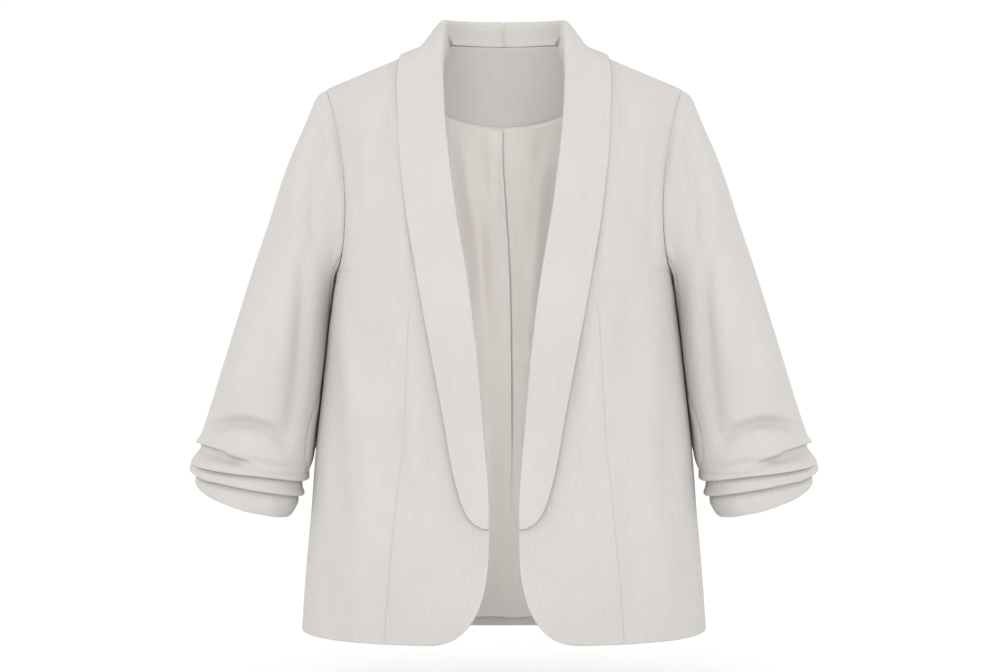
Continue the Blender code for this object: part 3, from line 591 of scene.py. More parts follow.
# ---------------------------------------------------------------------------------------------------------
# Creases. Each is a soft ridge, or with a negative height a trough, drawn on the front or the back view of
# the piece from one end to the other; bow is how far its middle stands aside from the straight line.
Crease = namedtuple("Crease", "x z to_x to_z bow width height")
FRONT_CREASES = {
    "left": (
        Crease(0.118, -0.060, 0.158, -0.235, 0.006, 0.016, -0.0041),
        Crease(0.101, -0.090, 0.112, -0.250, -0.004, 0.013, 0.0030),
        Crease(0.168, -0.120, 0.166, -0.235, 0.004, 0.009, -0.0022),
        Crease(0.150, -0.270, 0.146, -0.400, -0.006, 0.020, -0.0043),
        Crease(0.186, -0.300, 0.178, -0.560, 0.004, 0.014, -0.0027),
        Crease(0.096, -0.330, 0.094, -0.470, 0.002, 0.014, 0.0024),
        Crease(0.132, -0.440, 0.148, -0.640, 0.004, 0.017, -0.0030),
        Crease(0.165, -0.460, 0.185, -0.670, 0.002, 0.018, 0.0035),
        Crease(0.072, -0.560, 0.098, -0.670, 0.003, 0.017, 0.0022),
    ),
    "right": (
        Crease(0.114, -0.070, 0.152, -0.250, 0.008, 0.018, -0.0046),
        Crease(0.098, -0.110, 0.110, -0.245, -0.004, 0.014, 0.0032),
        Crease(0.172, -0.110, 0.160, -0.215, 0.004, 0.009, -0.0019),
        Crease(0.176, -0.250, 0.168, -0.420, 0.004, 0.013, 0.0030),
        Crease(0.131, -0.360, 0.124, -0.520, -0.004, 0.018, -0.0041),
        Crease(0.098, -0.400, 0.100, -0.500, 0.002, 0.012, 0.0027),
        Crease(0.190, -0.340, 0.184, -0.540, 0.004, 0.013, -0.0027),
        Crease(0.152, -0.470, 0.168, -0.670, 0.003, 0.018, 0.0032),
        Crease(0.118, -0.540, 0.134, -0.670, 0.003, 0.016, -0.0024),
    ),
}
BACK_CREASES = (
    Crease(-0.150, -0.120, -0.120, -0.300, 0.010, 0.018, 0.0026),
    Crease(0.146, -0.110, 0.112, -0.280, -0.010, 0.017, 0.0028),
    Crease(-0.168, -0.150, -0.150, -0.270, 0.004, 0.010, 0.0016),
    Crease(0.165, -0.160, 0.154, -0.250, -0.004, 0.010, 0.0014),
    Crease(-0.070, -0.330, -0.100, -0.640, -0.006, 0.020, 0.0036),
    Crease(0.060, -0.350, 0.082, -0.670, 0.005, 0.022, 0.0040),
    Crease(-0.150, -0.400, -0.176, -0.660, -0.004, 0.018, 0.0030),
    Crease(0.140, -0.380, 0.170, -0.650, 0.006, 0.017, 0.0030),
    Crease(-0.020, -0.420, -0.012, -0.660, 0.004, 0.018, 0.0022),
    Crease(-0.060, -0.285, 0.050, -0.300, -0.008, 0.012, 0.0018),
    Crease(0.090, -0.300, 0.170, -0.330, -0.005, 0.010, 0.0014),
)
SLEEVE_FRONT_CREASES = (
    Crease(0.226, -0.235, 0.243, -0.440, -0.006, 0.009, -0.0044),
    Crease(0.250, -0.250, 0.268, -0.430, -0.006, 0.014, 0.0030),
    Crease(0.207, -0.085, 0.214, -0.230, 0.004, 0.008, -0.0026),
    Crease(0.222, -0.080, 0.240, -0.215, 0.006, 0.010, 0.0018),
    Crease(0.246, -0.140, 0.284, -0.300, 0.004, 0.012, -0.0020),
    Crease(0.285, -0.330, 0.300, -0.405, 0.004, 0.014, 0.0018),
    Crease(0.312, -0.350, 0.318, -0.410, 0.002, 0.009, -0.0016),
    Crease(0.334, -0.433, 0.247, -0.446, -0.014, 0.007, -0.0058),
    Crease(0.330, -0.4240, 0.262, -0.4250, -0.008, 0.006, 0.0028),
    Crease(0.262, -0.462, 0.240, -0.470, 0.003, 0.008, 0.0020),
    Crease(0.336, -0.4600, 0.300, -0.4680, 0.002, 0.004, -0.0014),
    Crease(0.280, -0.4930, 0.254, -0.4965, 0.001, 0.004, 0.0010),
    Crease(0.330, -0.5000, 0.300, -0.5100, 0.002, 0.006, -0.0010),
    Crease(0.262, -0.5100, 0.258, -0.5300, 0.001, 0.006, 0.0010),
)
SLEEVE_BACK_CREASES = (
    Crease(0.232, -0.240, 0.250, -0.420, -0.008, 0.012, -0.0038),
    Crease(0.262, -0.200, 0.290, -0.390, 0.006, 0.014, 0.0030),
    Crease(0.216, -0.100, 0.226, -0.220, 0.004, 0.009, -0.0020),
    Crease(0.240, -0.110, 0.268, -0.240, 0.004, 0.011, 0.0018),
    Crease(0.230, -0.330, 0.300, -0.345, 0.010, 0.008, -0.0026),
    Crease(0.236, -0.365, 0.306, -0.372, 0.008, 0.007, 0.0022),
    Crease(0.330, -0.428, 0.262, -0.440, -0.010, 0.007, -0.0036),
    Crease(0.300, -0.455, 0.262, -0.462, 0.003, 0.006, 0.0016),
)
LINING_CREASES = (
    Crease(-0.015, -0.070, -0.011, -0.200, 0.001, 0.008, 0.0048),
    Crease(0.030, -0.080, 0.022, -0.220, 0.002, 0.009, 0.0036),
    Crease(-0.052, -0.240, -0.044, -0.420, -0.004, 0.009, 0.0036),
    Crease(-0.050, -0.100, -0.030, -0.330, 0.006, 0.010, 0.0057),
    Crease(-0.026, -0.150, -0.014, -0.380, -0.004, 0.007, 0.0043),
    Crease(0.020, -0.180, 0.026, -0.400, 0.004, 0.008, 0.0043),
    Crease(0.048, -0.120, 0.040, -0.360, -0.006, 0.010, 0.0057),
    Crease(-0.085, -0.120, -0.070, -0.460, 0.006, 0.014, 0.0057),
    Crease(0.090, -0.140, 0.078, -0.480, -0.006, 0.014, 0.0057),
    Crease(-0.020, -0.440, -0.032, -0.640, 0.004, 0.012, 0.0063),
    Crease(0.024, -0.460, 0.034, -0.640, 0.004, 0.010, 0.0057),
    Crease(-0.110, -0.420, -0.120, -0.640, 0.004, 0.016, 0.0063),
    Crease(0.104, -0.450, 0.118, -0.640, 0.004, 0.016, 0.0063),
    Crease(0.012, -0.300, 0.030, -0.345, 0.003, 0.005, 0.0032),
    Crease(0.011, -0.350, 0.024, -0.380, 0.002, 0.004, 0.0032),
)

# The dart in each front, from its point down to the hem, and the guide that its line follows above it.
Dart = namedtuple("Dart", "z x")
DART = (
    Dart(-0.020, 0.1300),
    Dart(-0.150, 0.1080),
    Dart(-0.279, 0.1014),
    Dart(-0.311, 0.1059),
    Dart(-0.349, 0.1082),
    Dart(-0.403, 0.1110),
    Dart(-0.451, 0.1140),
    Dart(-0.500, 0.1198),
    Dart(-0.548, 0.1243),
    Dart(-0.596, 0.1289),
    Dart(-0.630, 0.1314),
    Dart(-0.667, 0.1334),
)
DART_TOP_Z = -0.279
DART_FADE = 0.030
DART_DEPTH = 0.0009
DART_HALF_WIDTH = 0.0006

# Gathers at the sleeve's end, each a tuck that runs round it. At each angle, in degrees from the outer edge,
# a tuck has its place, in sections of the sleeve, and how strongly it stands there.
Tuck = namedtuple("Tuck", "turn place strength")
TUCKS = (
    (
        Tuck(-180, 9.3, 0.0), Tuck(-120, 9.2, 0.0), Tuck(-84, 8.7, 0.05), Tuck(-50, 7.8, 0.75),
        Tuck(-20, 7.9, 0.6), Tuck(0, 8.0, 0.65), Tuck(30, 7.85, 1.05), Tuck(60, 7.95, 0.95),
        Tuck(76, 8.45, 0.6), Tuck(88, 9.2, 0.1), Tuck(100, 9.6, 0.0), Tuck(180, 9.3, 0.0),
    ),
    (
        Tuck(-180, 11.1, 1.0), Tuck(-130, 10.9, 1.0), Tuck(-90, 10.5, 0.9), Tuck(-50, 10.3, 0.6),
        Tuck(-20, 10.3, 0.1), Tuck(0, 10.4, 0.05), Tuck(24, 10.45, 0.3), Tuck(45, 10.35, 0.9),
        Tuck(90, 10.30, 1.0), Tuck(130, 10.75, 1.0), Tuck(180, 11.1, 1.0),
    ),
    (
        Tuck(-180, 12.7, 0.9), Tuck(-130, 12.5, 0.8), Tuck(-90, 12.1, 0.9), Tuck(-40, 11.7, 0.8),
        Tuck(0, 11.4, 0.7), Tuck(35, 11.65, 0.9), Tuck(90, 12.05, 1.0), Tuck(140, 12.55, 1.0),
        Tuck(180, 12.7, 0.9),
    ),
)
# A tuck from above to below. Each row has its distance from the tuck's line and how far it slides along the
# sleeve, both in metres, and how far it stands out, as a share of TUCK_HEIGHT.
TuckRow = namedtuple("TuckRow", "base slide push")
TUCK_ROWS = (
    TuckRow(-0.0110, 0.0000, 0.10),
    TuckRow(-0.0080, 0.0000, 0.35),
    TuckRow(-0.0055, 0.0000, 0.65),
    TuckRow(-0.0035, 0.0003, 0.90),
    TuckRow(-0.0018, 0.0009, 1.00),
    TuckRow(-0.0008, 0.0015, 0.92),
    TuckRow(0.0000, 0.0018, 0.70),
    TuckRow(0.0004, 0.0016, 0.42),
    TuckRow(0.0008, 0.0008, 0.18),
    TuckRow(0.0012, -0.0012, 0.02),
    TuckRow(0.0016, -0.0040, -0.05),
    TuckRow(0.0020, -0.0064, -0.16),
    TuckRow(0.0024, -0.0074, -0.40),
    TuckRow(0.0029, -0.0066, -0.66),
    TuckRow(0.0035, -0.0044, -0.80),
    TuckRow(0.0044, -0.0022, -0.78),
    TuckRow(0.0056, -0.0008, -0.60),
    TuckRow(0.0072, 0.0000, -0.32),
    TuckRow(0.0092, 0.0000, -0.08),
)
# How far a tuck stands out, how far the sleeve's inside lies under the tucks, and the share of the way to
# the next tuck that one may take
TUCK_HEIGHT = 0.0040
TUCK_LINING = 0.0048
TUCK_ROOM = 0.46
SLEEVE_INSIDE_LIFT = 0.0012

# The first rows below the armhole, as shares of the way to the first tuck
CAP_ROWS = (0, 0.0030, 0.0075, 0.015)

# The body stands a little fuller at its sides, below the armholes, and the sleeve leans in to rest there:
# how far it leans at each angle round it, and the room that it leaves. Each begins and ends between a pair
# of distances below the neck.
SIDE_FULLNESS = 0.0022
SIDE_SPREAD = 0.35
SIDE_TOP = (0.258, 0.284)
SIDE_END = (0.440, 0.540)
Lean = namedtuple("Lean", "turn amount")
INNER_LEAN = (
    Lean(0, 0.0), Lean(140, 0.0), Lean(165, 0.0012), Lean(180, 0.0030), Lean(200, 0.0085),
    Lean(215, 0.0130), Lean(232, 0.0110), Lean(255, 0.0040), Lean(275, 0.0), Lean(360, 0.0),
)
LEAN_TOP = (0.256, 0.274)
LEAN_END = (0.440, 0.468)
REST_GAP = 0.0036

# The sleeve's front seam turns from the inside to the front on its way down: how many degrees inward of the
# plain line it lies at each section of the sleeve
SEAM_TURN = ((0, 3.5, 5.0, 6.1, 6.7, 7.2, 7.8, 9.0, 10.5, 14.0), (0, 16, 29, 31, 10, 5, 6, 12, 20, 26))
SEAM_TURN_SPREAD = math.radians(46)

# Seams: how far the cloth dips into one, and the distances from it at which rows are added to show that
SEAM_DIP = 0.0008
SEAM_REACH = 0.0022
SEAM_SHARES = (0.12, 0.30, 0.60)
EDGE_ROUND = 0.42

# The collar's outer edge stands off the front a little, more toward the break
LAPEL_LIFT = ((0.0, 0.30, 0.60, 0.86, 0.96, 1.0), (0.0001, 0.0011, 0.0020, 0.0038, 0.0033, 0.0012))
LAPEL_LIFT_REACH = 0.016

# The lapel's edge carried on above the shoulder
LAPEL_CARRIED_ON = Lapel(roll_z=0.05, lift=0, edge_x=0.118, edge_z=0.05, leg=0)

# The neck facing's top edge, beside the stand; the collar's centre-back seam; the turned hem of the lining,
# and how far its top edge runs up under the facing and how close to the shell it lies there
FACING_TOP_Z = 0.0105
CLOSE_SEAM = 0.00004
LINING_HEM_FOLD = 0.010
LINING_UNDERLAP = 0.0045
LINING_UNDER_GAP = 0.0004

# A crease is shallower at its ends than in its middle
CREASE_END_SHARE = 0.35
CREASE_TAPER = 0.7

# Unevenness of the cloth: how far apart its highs and lows lie, across and along, and how high they are;
# then how much of it the smaller pieces show, and how far the collar's fall stands off what it lies on
NOISE_CELLS = 64
NOISE_START = 20.5
Uneven = namedtuple("Uneven", "across along height")
BROAD_RELIEF = Uneven(0.045, 0.110, 0.00055)
FINE_RELIEF = Uneven(0.017, 0.034, 0.00016)
COLLAR_RELIEF = 0.6
COLLAR_EASE = 0.0004
FACING_RELIEF = 0.8
LINING_RELIEF = 1.4
SIDE_PUCKER = Uneven(0.013, 1.0, 0.00035)
SIDE_PUCKER_REACH = 0.010
CAP_PUCKER = Uneven(0.012, 1.0, 0.0004)
CUFF_RUFFLE = Uneven(0.020, 0.5, 0.0009)
LINING_GATHERS = Uneven(0.011, 0.05, 0.0006)

# The sleeve's head: a roll of fullness below its seam, from the front over the shoulder to the back
CAP_ROLL = 0.0016
CAP_ROLL_PLACE = 0.008
CAP_ROLL_REACH = 0.007
CAP_PUCKER_REACH = 0.010

# Turned edges: how far each dips along its hem, and how far from it that reaches
HEM_DIP = 0.0006
HEM_REACH = 0.0012
LINING_HEM_DIP = 0.0004
LINING_WAVE = 0.0014
FACING_PRESS = 0.0005

# The dart takes in a little width, so that the cloth stands fuller beside it
DART_FULLNESS = 0.0006
DART_FULLNESS_PLACE = 0.006
DART_FULLNESS_REACH = 0.006
DART_BESIDE = (0.0006, 0.0014, 0.0030)
DART_CLEAR = 0.0062

# How far from its edge a piece is held flat by a seam, and how deep a trough in the back may be
SIDE_HELD = 0.030
ARMHOLE_HELD = 0.022
SHOULDER_HELD = 0.020
BACK_TOP_HELD = 0.050
DEEPEST_BACK_TROUGH = -0.0008

# Where the lining's centre pleat folds back under itself. Each column has its place across the back, how
# far the cloth slides toward the wearer's left there, and how high it lies, from 1 on top to 0 underneath.
PleatColumn = namedtuple("PleatColumn", "place slide layer")
PLEAT_COLUMNS = (
    PleatColumn(-0.030, 0.0, 1.0), PleatColumn(-0.024, 0.0, 1.0), PleatColumn(-0.018, 0.0, 1.0),
    PleatColumn(-0.012, 0.0, 1.0), PleatColumn(-0.007, 0.0, 1.0), PleatColumn(-0.003, 0.0, 1.0),
    PleatColumn(-0.001, 0.0006, 0.94), PleatColumn(0.0, 0.0008, 0.80), PleatColumn(0.0005, 0.0002, 0.66),
    PleatColumn(0.001, -0.0016, 0.58), PleatColumn(0.0015, -0.0048, 0.54),
    PleatColumn(0.002, -0.0066, 0.46), PleatColumn(0.0025, -0.0068, 0.32),
    PleatColumn(0.003, -0.0052, 0.22), PleatColumn(0.004, -0.0026, 0.12),
    PleatColumn(0.006, -0.0008, 0.04), PleatColumn(0.009, 0.0, 0.0), PleatColumn(0.014, 0.0, 0.0),
    PleatColumn(0.022, 0.0, 0.0), PleatColumn(0.030, 0.0, 0.0),
)

# The lining: how much higher than in the frame its pleat stands, how far below the shell it lies, how deep
# its troughs may go, the half width of the pleat's own columns and how far apart they lie, where the even
# columns beside them begin, and how many of those there are on each side
PLEAT_RISE = 1.7
LINING_EASE = 0.0006
LINING_TROUGH = -0.0004
LINING_DEEPEST = -0.0005
PLEAT_HALF_COLUMNS = 0.032
PLEAT_COLUMN_SCALE = 0.30
BESIDE_PLEAT = 0.035
LINING_SIDE_COLUMNS = 78

# What each kind of piece is cut from: its cloth, the width and length of the flat piece with its folds
# opened out, its area in square metres, and how it is held
Cut = namedtuple("Cut", "slot flat area held")
SLEEVE_TOP_CUT = Cut("shell_fabric", (0.27, 0.50), 0.1195, "gathered")
SLEEVE_UNDER_CUT = Cut("shell_fabric", (0.11, 0.42), 0.0315, "gathered")

# How each cloth is drawn. light and dark are the tones of its threads; thread and slub are sizes across and
# along the warp in metres; relief is how far a thread stands out in metres; streak is the spread of the
# pattern that its tones take up, so a smaller one shows more strongly.
Weave = namedtuple("Weave", "light dark thread slub relief roughness sheen streak")
SHELL_WEAVE = Weave(0xCAC7C2, 0xBFBCB7, (0.0008, 0.009), (0.0014, 0.034), 0.00022, 0.84, 0.10, 0.34)
LINING_WEAVE = Weave(0xDAD5D1, 0xD2CAC6, (0.0006, 0.012), (0.0022, 0.060), 0.00008, 0.46, 0.0, 0.42)
SHELL_COLOUR = 0xC5C2BE
LINING_COLOUR = 0xD6D0CC

# The studio: its floor, its even white surroundings and its lights. The two panels are small lights that a
# studio hides inside the garment, so that its lining reads as brightly as its front.
FLOOR_RADIUS = 60.0
WORLD_STRENGTH = 1.03
Softbox = namedtuple("Softbox", "name place faces size power")
LIGHTS = (
    Softbox("key_softbox", (-0.7, -3.4, 1.1), (0.0, 0.0, -0.33), (1.3, 1.3), 16.0),
    Softbox("fill_softbox", (1.1, -3.3, 0.7), (0.0, 0.0, -0.33), (1.3, 1.3), 7.0),
    Softbox("side_softbox_1", (-2.9, -1.9, 1.0), (0.0, 0.0, -0.33), (1.2, 1.2), 10.0),
    Softbox("side_softbox_2", (2.9, -1.9, 0.9), (0.0, 0.0, -0.33), (1.2, 1.2), 9.0),
    Softbox("inside_panel", (-0.022, -0.010, -0.36), (0.02, 1.0, -0.38), (0.03, 0.56), 0.18),
    Softbox("neck_panel", (0.0, -0.020, -0.035), (0.0, 1.0, -0.02), (0.10, 0.06), 0.026),
)

# How finely the cloth is divided
FINE_UPPER = 64
FINE_LOWER = 126
FRONT_DENSE_COLUMNS = 900
FRONT_NEAR_COLUMNS = 34
FRONT_FAR_COLUMNS = 46
BACK_FINE_COLUMNS = 66
COLLAR_FINE_PLACES = 330
COLLAR_FIRST_PLACES = (0.0004, 0.0012, 0.0022)
COLLAR_LAST_PLACES = (1 - 0.002, 1 - 0.001, 1 - 0.0004)
COLLAR_LEG_SHARES = (0, 0.03, 0.08, 0.18, 0.30, 0.43, 0.55, 0.66, 0.76, 0.84, 0.90, 0.95)
COLLAR_FALL_SHARES = (0, 0.02, 0.045, 0.08, 0.12, 0.17, 0.23, 0.30, 0.38, 0.46, 0.54, 0.62, 0.70, 0.78, 0.85,
                      0.91, 0.955, 0.985, 1)
SLEEVE_ROWS = 104

# In the sleeve's columns of outer x, y, z, inner x, y, z and flat u, v, the number of u, and the longest
# step between two columns in the flat lay, beyond which it has jumped
FLAT_U = 6
MOST_FLAT_STEP = 0.05


def fade(value, start, end):
    """0 before start, 1 past end, and smooth between."""
    t = np.clip((value - start) / (end - start), 0, 1)
    return t * t * (3 - 2 * t)


def nearness(distance, reach):
    """1 at no distance, falling softly to nothing at about twice the reach."""
    return np.exp(-((distance / reach) ** 2))


def crease_height(creases, x, z):
    """How far the creases lift each point of a view."""
    total = np.zeros(np.shape(x))
    for crease in creases:
        run, rise = crease.to_x - crease.x, crease.to_z - crease.z
        length = math.hypot(run, rise)
        along = ((x - crease.x) * run + (z - crease.z) * rise) / length**2
        aside = ((x - crease.x) * -rise + (z - crease.z) * run) / length
        held = np.clip(along, 0, 1)
        beyond = (along - held) * length
        off = np.hypot(aside - crease.bow * 4 * held * (1 - held), beyond)
        taper = CREASE_END_SHARE + (1 - CREASE_END_SHARE) * np.sin(held * math.pi) ** CREASE_TAPER
        total += crease.height * taper * nearness(off, crease.width)
    return total


def soft_noise(u, v, size_u, size_v, seed):
    """Smooth random heights from -1 to 1, size_u and size_v apart."""
    values = np.random.default_rng(seed).uniform(-1, 1, (NOISE_CELLS, NOISE_CELLS))
    a, b = u / size_u + NOISE_START, v / size_v + NOISE_START
    i, j = np.floor(a).astype(int), np.floor(b).astype(int)
    s, t = fade(a - i, 0, 1), fade(b - j, 0, 1)
    i, j = i % (NOISE_CELLS - 1), j % (NOISE_CELLS - 1)
    low = values[i, j] * (1 - s) + values[i + 1, j] * s
    high = values[i, j + 1] * (1 - s) + values[i + 1, j + 1] * s
    return low * (1 - t) + high * t


def uneven(u, v, kind, seed):
    """Smooth random heights of one kind of unevenness."""
    return soft_noise(u, v, kind.across, kind.along, seed) * kind.height


def relief(u, v, seed):
    """The slight unevenness of pressed linen, longer down the cloth than across it."""
    return uneven(u, v, BROAD_RELIEF, seed) + uneven(u, v, FINE_RELIEF, seed + 1)


def pucker(along, to_seam, seed):
    """The small waves that a long seam draws up in the cloth beside it."""
    return uneven(along, along * 0 + 0.3, SIDE_PUCKER, seed) * nearness(to_seam, SIDE_PUCKER_REACH)


def lengths(points, axis):
    """Distance walked along one axis of a grid of points."""
    steps = np.linalg.norm(np.diff(points, axis=axis), axis=-1)
    start = np.zeros_like(np.take(steps, [0], axis=axis))
    return np.concatenate([start, np.cumsum(steps, axis=axis)], axis=axis)


def with_edge_rows(grid, axis, ends):
    """The grid with rows added close to its first or last one, or both, to show a seam or a round edge."""
    grid = np.moveaxis(grid, axis, 0)
    if "first" in ends:
        added = [grid[0] + (grid[1] - grid[0]) * share for share in SEAM_SHARES]
        grid = np.concatenate([grid[:1], added, grid[1:]])
    if "last" in ends:
        added = [grid[-1] + (grid[-2] - grid[-1]) * share for share in SEAM_SHARES[::-1]]
        grid = np.concatenate([grid[:-1], added, grid[-1:]])
    return np.moveaxis(grid, 0, axis)


def side_fullness(angle, z):
    """How far the body stands out at its sides, below the armholes."""
    between = fade(-z, *SIDE_TOP) * (1 - fade(-z, *SIDE_END))
    return SIDE_FULLNESS * between * nearness(np.cos(angle), SIDE_SPREAD)


def level_lengths(points):
    """Distance along each row as seen from above, so that the grain stays upright on sloping rows."""
    level = points.copy()
    level[..., 2] = 0
    return lengths(level, 1)


def seam_dip(distance):
    """How far the cloth dips at a distance from a seam."""
    return -SEAM_DIP * nearness(distance, SEAM_REACH)


def cloth_object(name, outer, inner, flat, material, free=(), mirrored=False):
    """A closed wall of cloth between two grids of points, with round free edges.

    flat holds each point's place on the flat cloth in metres; free names the edges that nothing is sewn to.
    """
    rows, columns = outer.shape[:2]
    under = rows * columns
    index = np.arange(under).reshape(rows, columns)
    points = [outer.reshape(-1, 3), inner.reshape(-1, 3)]
    flats = [flat.reshape(-1, 2), flat.reshape(-1, 2)]
    quads = []

    def add_faces(a, b, c, d):
        quads.append(np.stack([np.ravel(p) for p in (a, b, c, d)], axis=-1))

    here, there = index[:, :-1], index[:, 1:]
    add_faces(here[:-1], here[1:], there[1:], there[:-1])
    here, there = here + under, there + under
    add_faces(here[:-1], there[:-1], there[1:], here[1:])

    edges = {"top": (index[0], index[1]), "bottom": (index[-1], index[-2]),
             "start": (index[:, 0], index[:, 1]), "end": (index[:, -1], index[:, -2])}
    count = 2 * under
    middles = {}
    for edge, (line, next_line) in edges.items():
        away = unit(points[0][line] - points[0][next_line])
        wall = np.linalg.norm(points[0][line] - points[1][line], axis=-1, keepdims=True)
        bulge = EDGE_ROUND * wall * away if edge in free else 0
        points.append((points[0][line] + points[1][line]) / 2 + bulge)
        flats.append(flats[0][line])
        middles[edge] = np.arange(count, count + len(line))
        count += len(line)
    points = np.concatenate(points)
    for edge, other_at in (("top", 0), ("bottom", -1)):
        for at, other in ((0, "start"), (-1, "end")):
            kept, dropped = middles[other][other_at], middles[edge][at]
            points[kept] = (points[kept] + points[dropped]) / 2
            middles[edge][at] = kept
    for edge, (line, _) in edges.items():
        for a, b in ((line, middles[edge]), (middles[edge], line + under)):
            if edge in ("top", "end"):
                a, b = a[::-1], b[::-1]
            add_faces(a[:-1], b[:-1], b[1:], a[1:])
    flats = np.concatenate(flats)
    faces = np.concatenate(quads)
    if mirrored:
        points = points * (-1.0, 1.0, 1.0)
    a, b, c, d = (points[faces[:, i]] for i in range(4))
    volume = (np.sum(a * np.cross(b, c), axis=-1) + np.sum(a * np.cross(c, d), axis=-1)).sum()
    if volume < 0:
        faces = faces[:, ::-1]
    used, compact = np.unique(faces, return_inverse=True)
    points, flats, faces = points[used], flats[used], compact.reshape(faces.shape)

    mesh = bpy.data.meshes.new(name)
    mesh.from_pydata(points.tolist(), [], faces.tolist())
    layer = mesh.uv_layers.new(name="Flat cloth")
    layer.data.foreach_set("uv", flats[faces.ravel()].astype(np.float32).ravel())
    mesh.materials.append(material)
    mesh.shade_smooth()
    mesh.update()
    piece = bpy.data.objects.new(name, mesh)
    bpy.context.scene.collection.objects.link(piece)
    return piece


def finish_cloth(piece, node):
    """Puts a piece of cloth in the frame in place of its CAD node."""
    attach(piece, "root")
    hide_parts(node)


def dart_columns(angles, z, inside, outside):
    """Each row's angles and heights, with one column on the dart's line and others close beside it."""
    dart_x = smooth_column(DART, "z", "x")
    place = np.linspace(0, 1, angles.shape[1])
    x = half_width(z) * signed_power(np.sin(angles), 2 / SQUARENESS)
    at = np.array([np.interp(0.0, row, place) for row in x - dart_x(z)])[:, None]
    width = np.array([row[-1] - row[0] for row in lengths(skin(angles, z), 1)])[:, None]
    beside = np.array(DART_BESIDE)[None, :] / width
    clear = DART_CLEAR / width
    inner = (at * np.linspace(0, 1, inside)[None, :] ** 0.92)[:, :-1]
    outer = at + (1 - at) * np.linspace(0, 1, outside)[None, 1:] ** 1.06
    inner = inner * ((at - clear) / inner[:, -1:])
    first = at + clear
    outer = first + (outer - outer[:, :1]) * (1 - first) / (1 - outer[:, :1])
    columns = np.hstack([inner, at - beside[:, ::-1], at, at + beside, outer])
    columns = np.clip(columns, 0, 1)
    new_angles = np.stack([np.interp(c, place, row) for c, row in zip(columns, angles)])
    new_z = np.stack([np.interp(c, place, row) for c, row in zip(columns, z)])
    return new_angles, new_z, inside - 1 + len(DART_BESIDE)


def fine_upper():
    """Where the rows above the underarm lie, from 0 at the top to 1, closer together at the top."""
    return np.linspace(0, 1, FINE_UPPER) ** 1.25


def front_cloth(side, settings, cloth):
    """One front: its chest and skirt creases, the dart, and dips along its shoulder, armhole and side."""
    spread = np.linspace(0, 1, FRONT_DENSE_COLUMNS)
    upper = fine_upper()
    lower = np.linspace(0, 1, FINE_LOWER + 1)[1:]
    angles, z = front_grid(spread, upper, lower)
    angles, z, dart = dart_columns(angles, z, FRONT_NEAR_COLUMNS, FRONT_FAR_COLUMNS)
    grid = np.stack([angles, z], axis=-1)
    grid = with_edge_rows(with_edge_rows(grid, 0, "first last"), 1, "first last")
    dart += len(SEAM_SHARES)
    angles, z = grid[..., 0], grid[..., 1]
    points, normals = torso_point(angles, z), torso_normal(angles, z)
    u = level_lengths(points) + points[:, :1, 0]
    v = z
    to_side = lengths(points, 1)[:, -1:] - lengths(points, 1)
    to_shoulder = lengths(points, 0)
    x = points[..., 0]
    edge_x = smooth_column([LAPEL_CARRIED_ON, *LAPEL], "edge_z", "edge_x")(z)
    clear_of_collar = fade(x - edge_x, -0.004, 0.014)
    clear_of_collar = np.where(z < BREAK_Z, 1.0, clear_of_collar)
    held = fade(to_side, 0.0, ARMHOLE_HELD) * fade(to_shoulder, 0.0, SHOULDER_HELD)
    held = held * np.where(z < UNDERARM_Z, fade(to_side, 0.0, SIDE_HELD), 1)
    lift = crease_height(FRONT_CREASES[side], x, z) * held * settings.crease_depth
    lift = (lift + relief(u, v, 11 if side == "left" else 23) * held) * clear_of_collar
    dip = pucker(z, to_side, 5) + seam_dip(to_side) + seam_dip(to_shoulder)
    from_dart = np.abs(lengths(points, 1) - lengths(points, 1)[:, dart : dart + 1])
    dart_share = fade(DART_TOP_Z - z, 0.0, DART_FADE)
    dip = dip - DART_DEPTH * dart_share * nearness(from_dart, DART_HALF_WIDTH)
    dip = dip + DART_FULLNESS * dart_share * nearness(from_dart - DART_FULLNESS_PLACE, DART_FULLNESS_REACH)
    lift = lift + side_fullness(angles, z)
    outer = points + normals * (lift + dip)[..., None]
    inner = points + normals * (lift - settings.shell_wall)[..., None]
    rows = len(upper) + len(SEAM_SHARES)
    for grid in (outer, inner):
        grid[0, :, 1] -= SEAM_GAP / 2
        grid[rows - 1 :, -1, 1] -= SEAM_GAP / 2
    flat = np.stack([u, v], axis=-1)
    free = ("start", "bottom")
    return cloth_object(f"front_{side}_cloth", outer, inner, flat, cloth, free, side == "right")


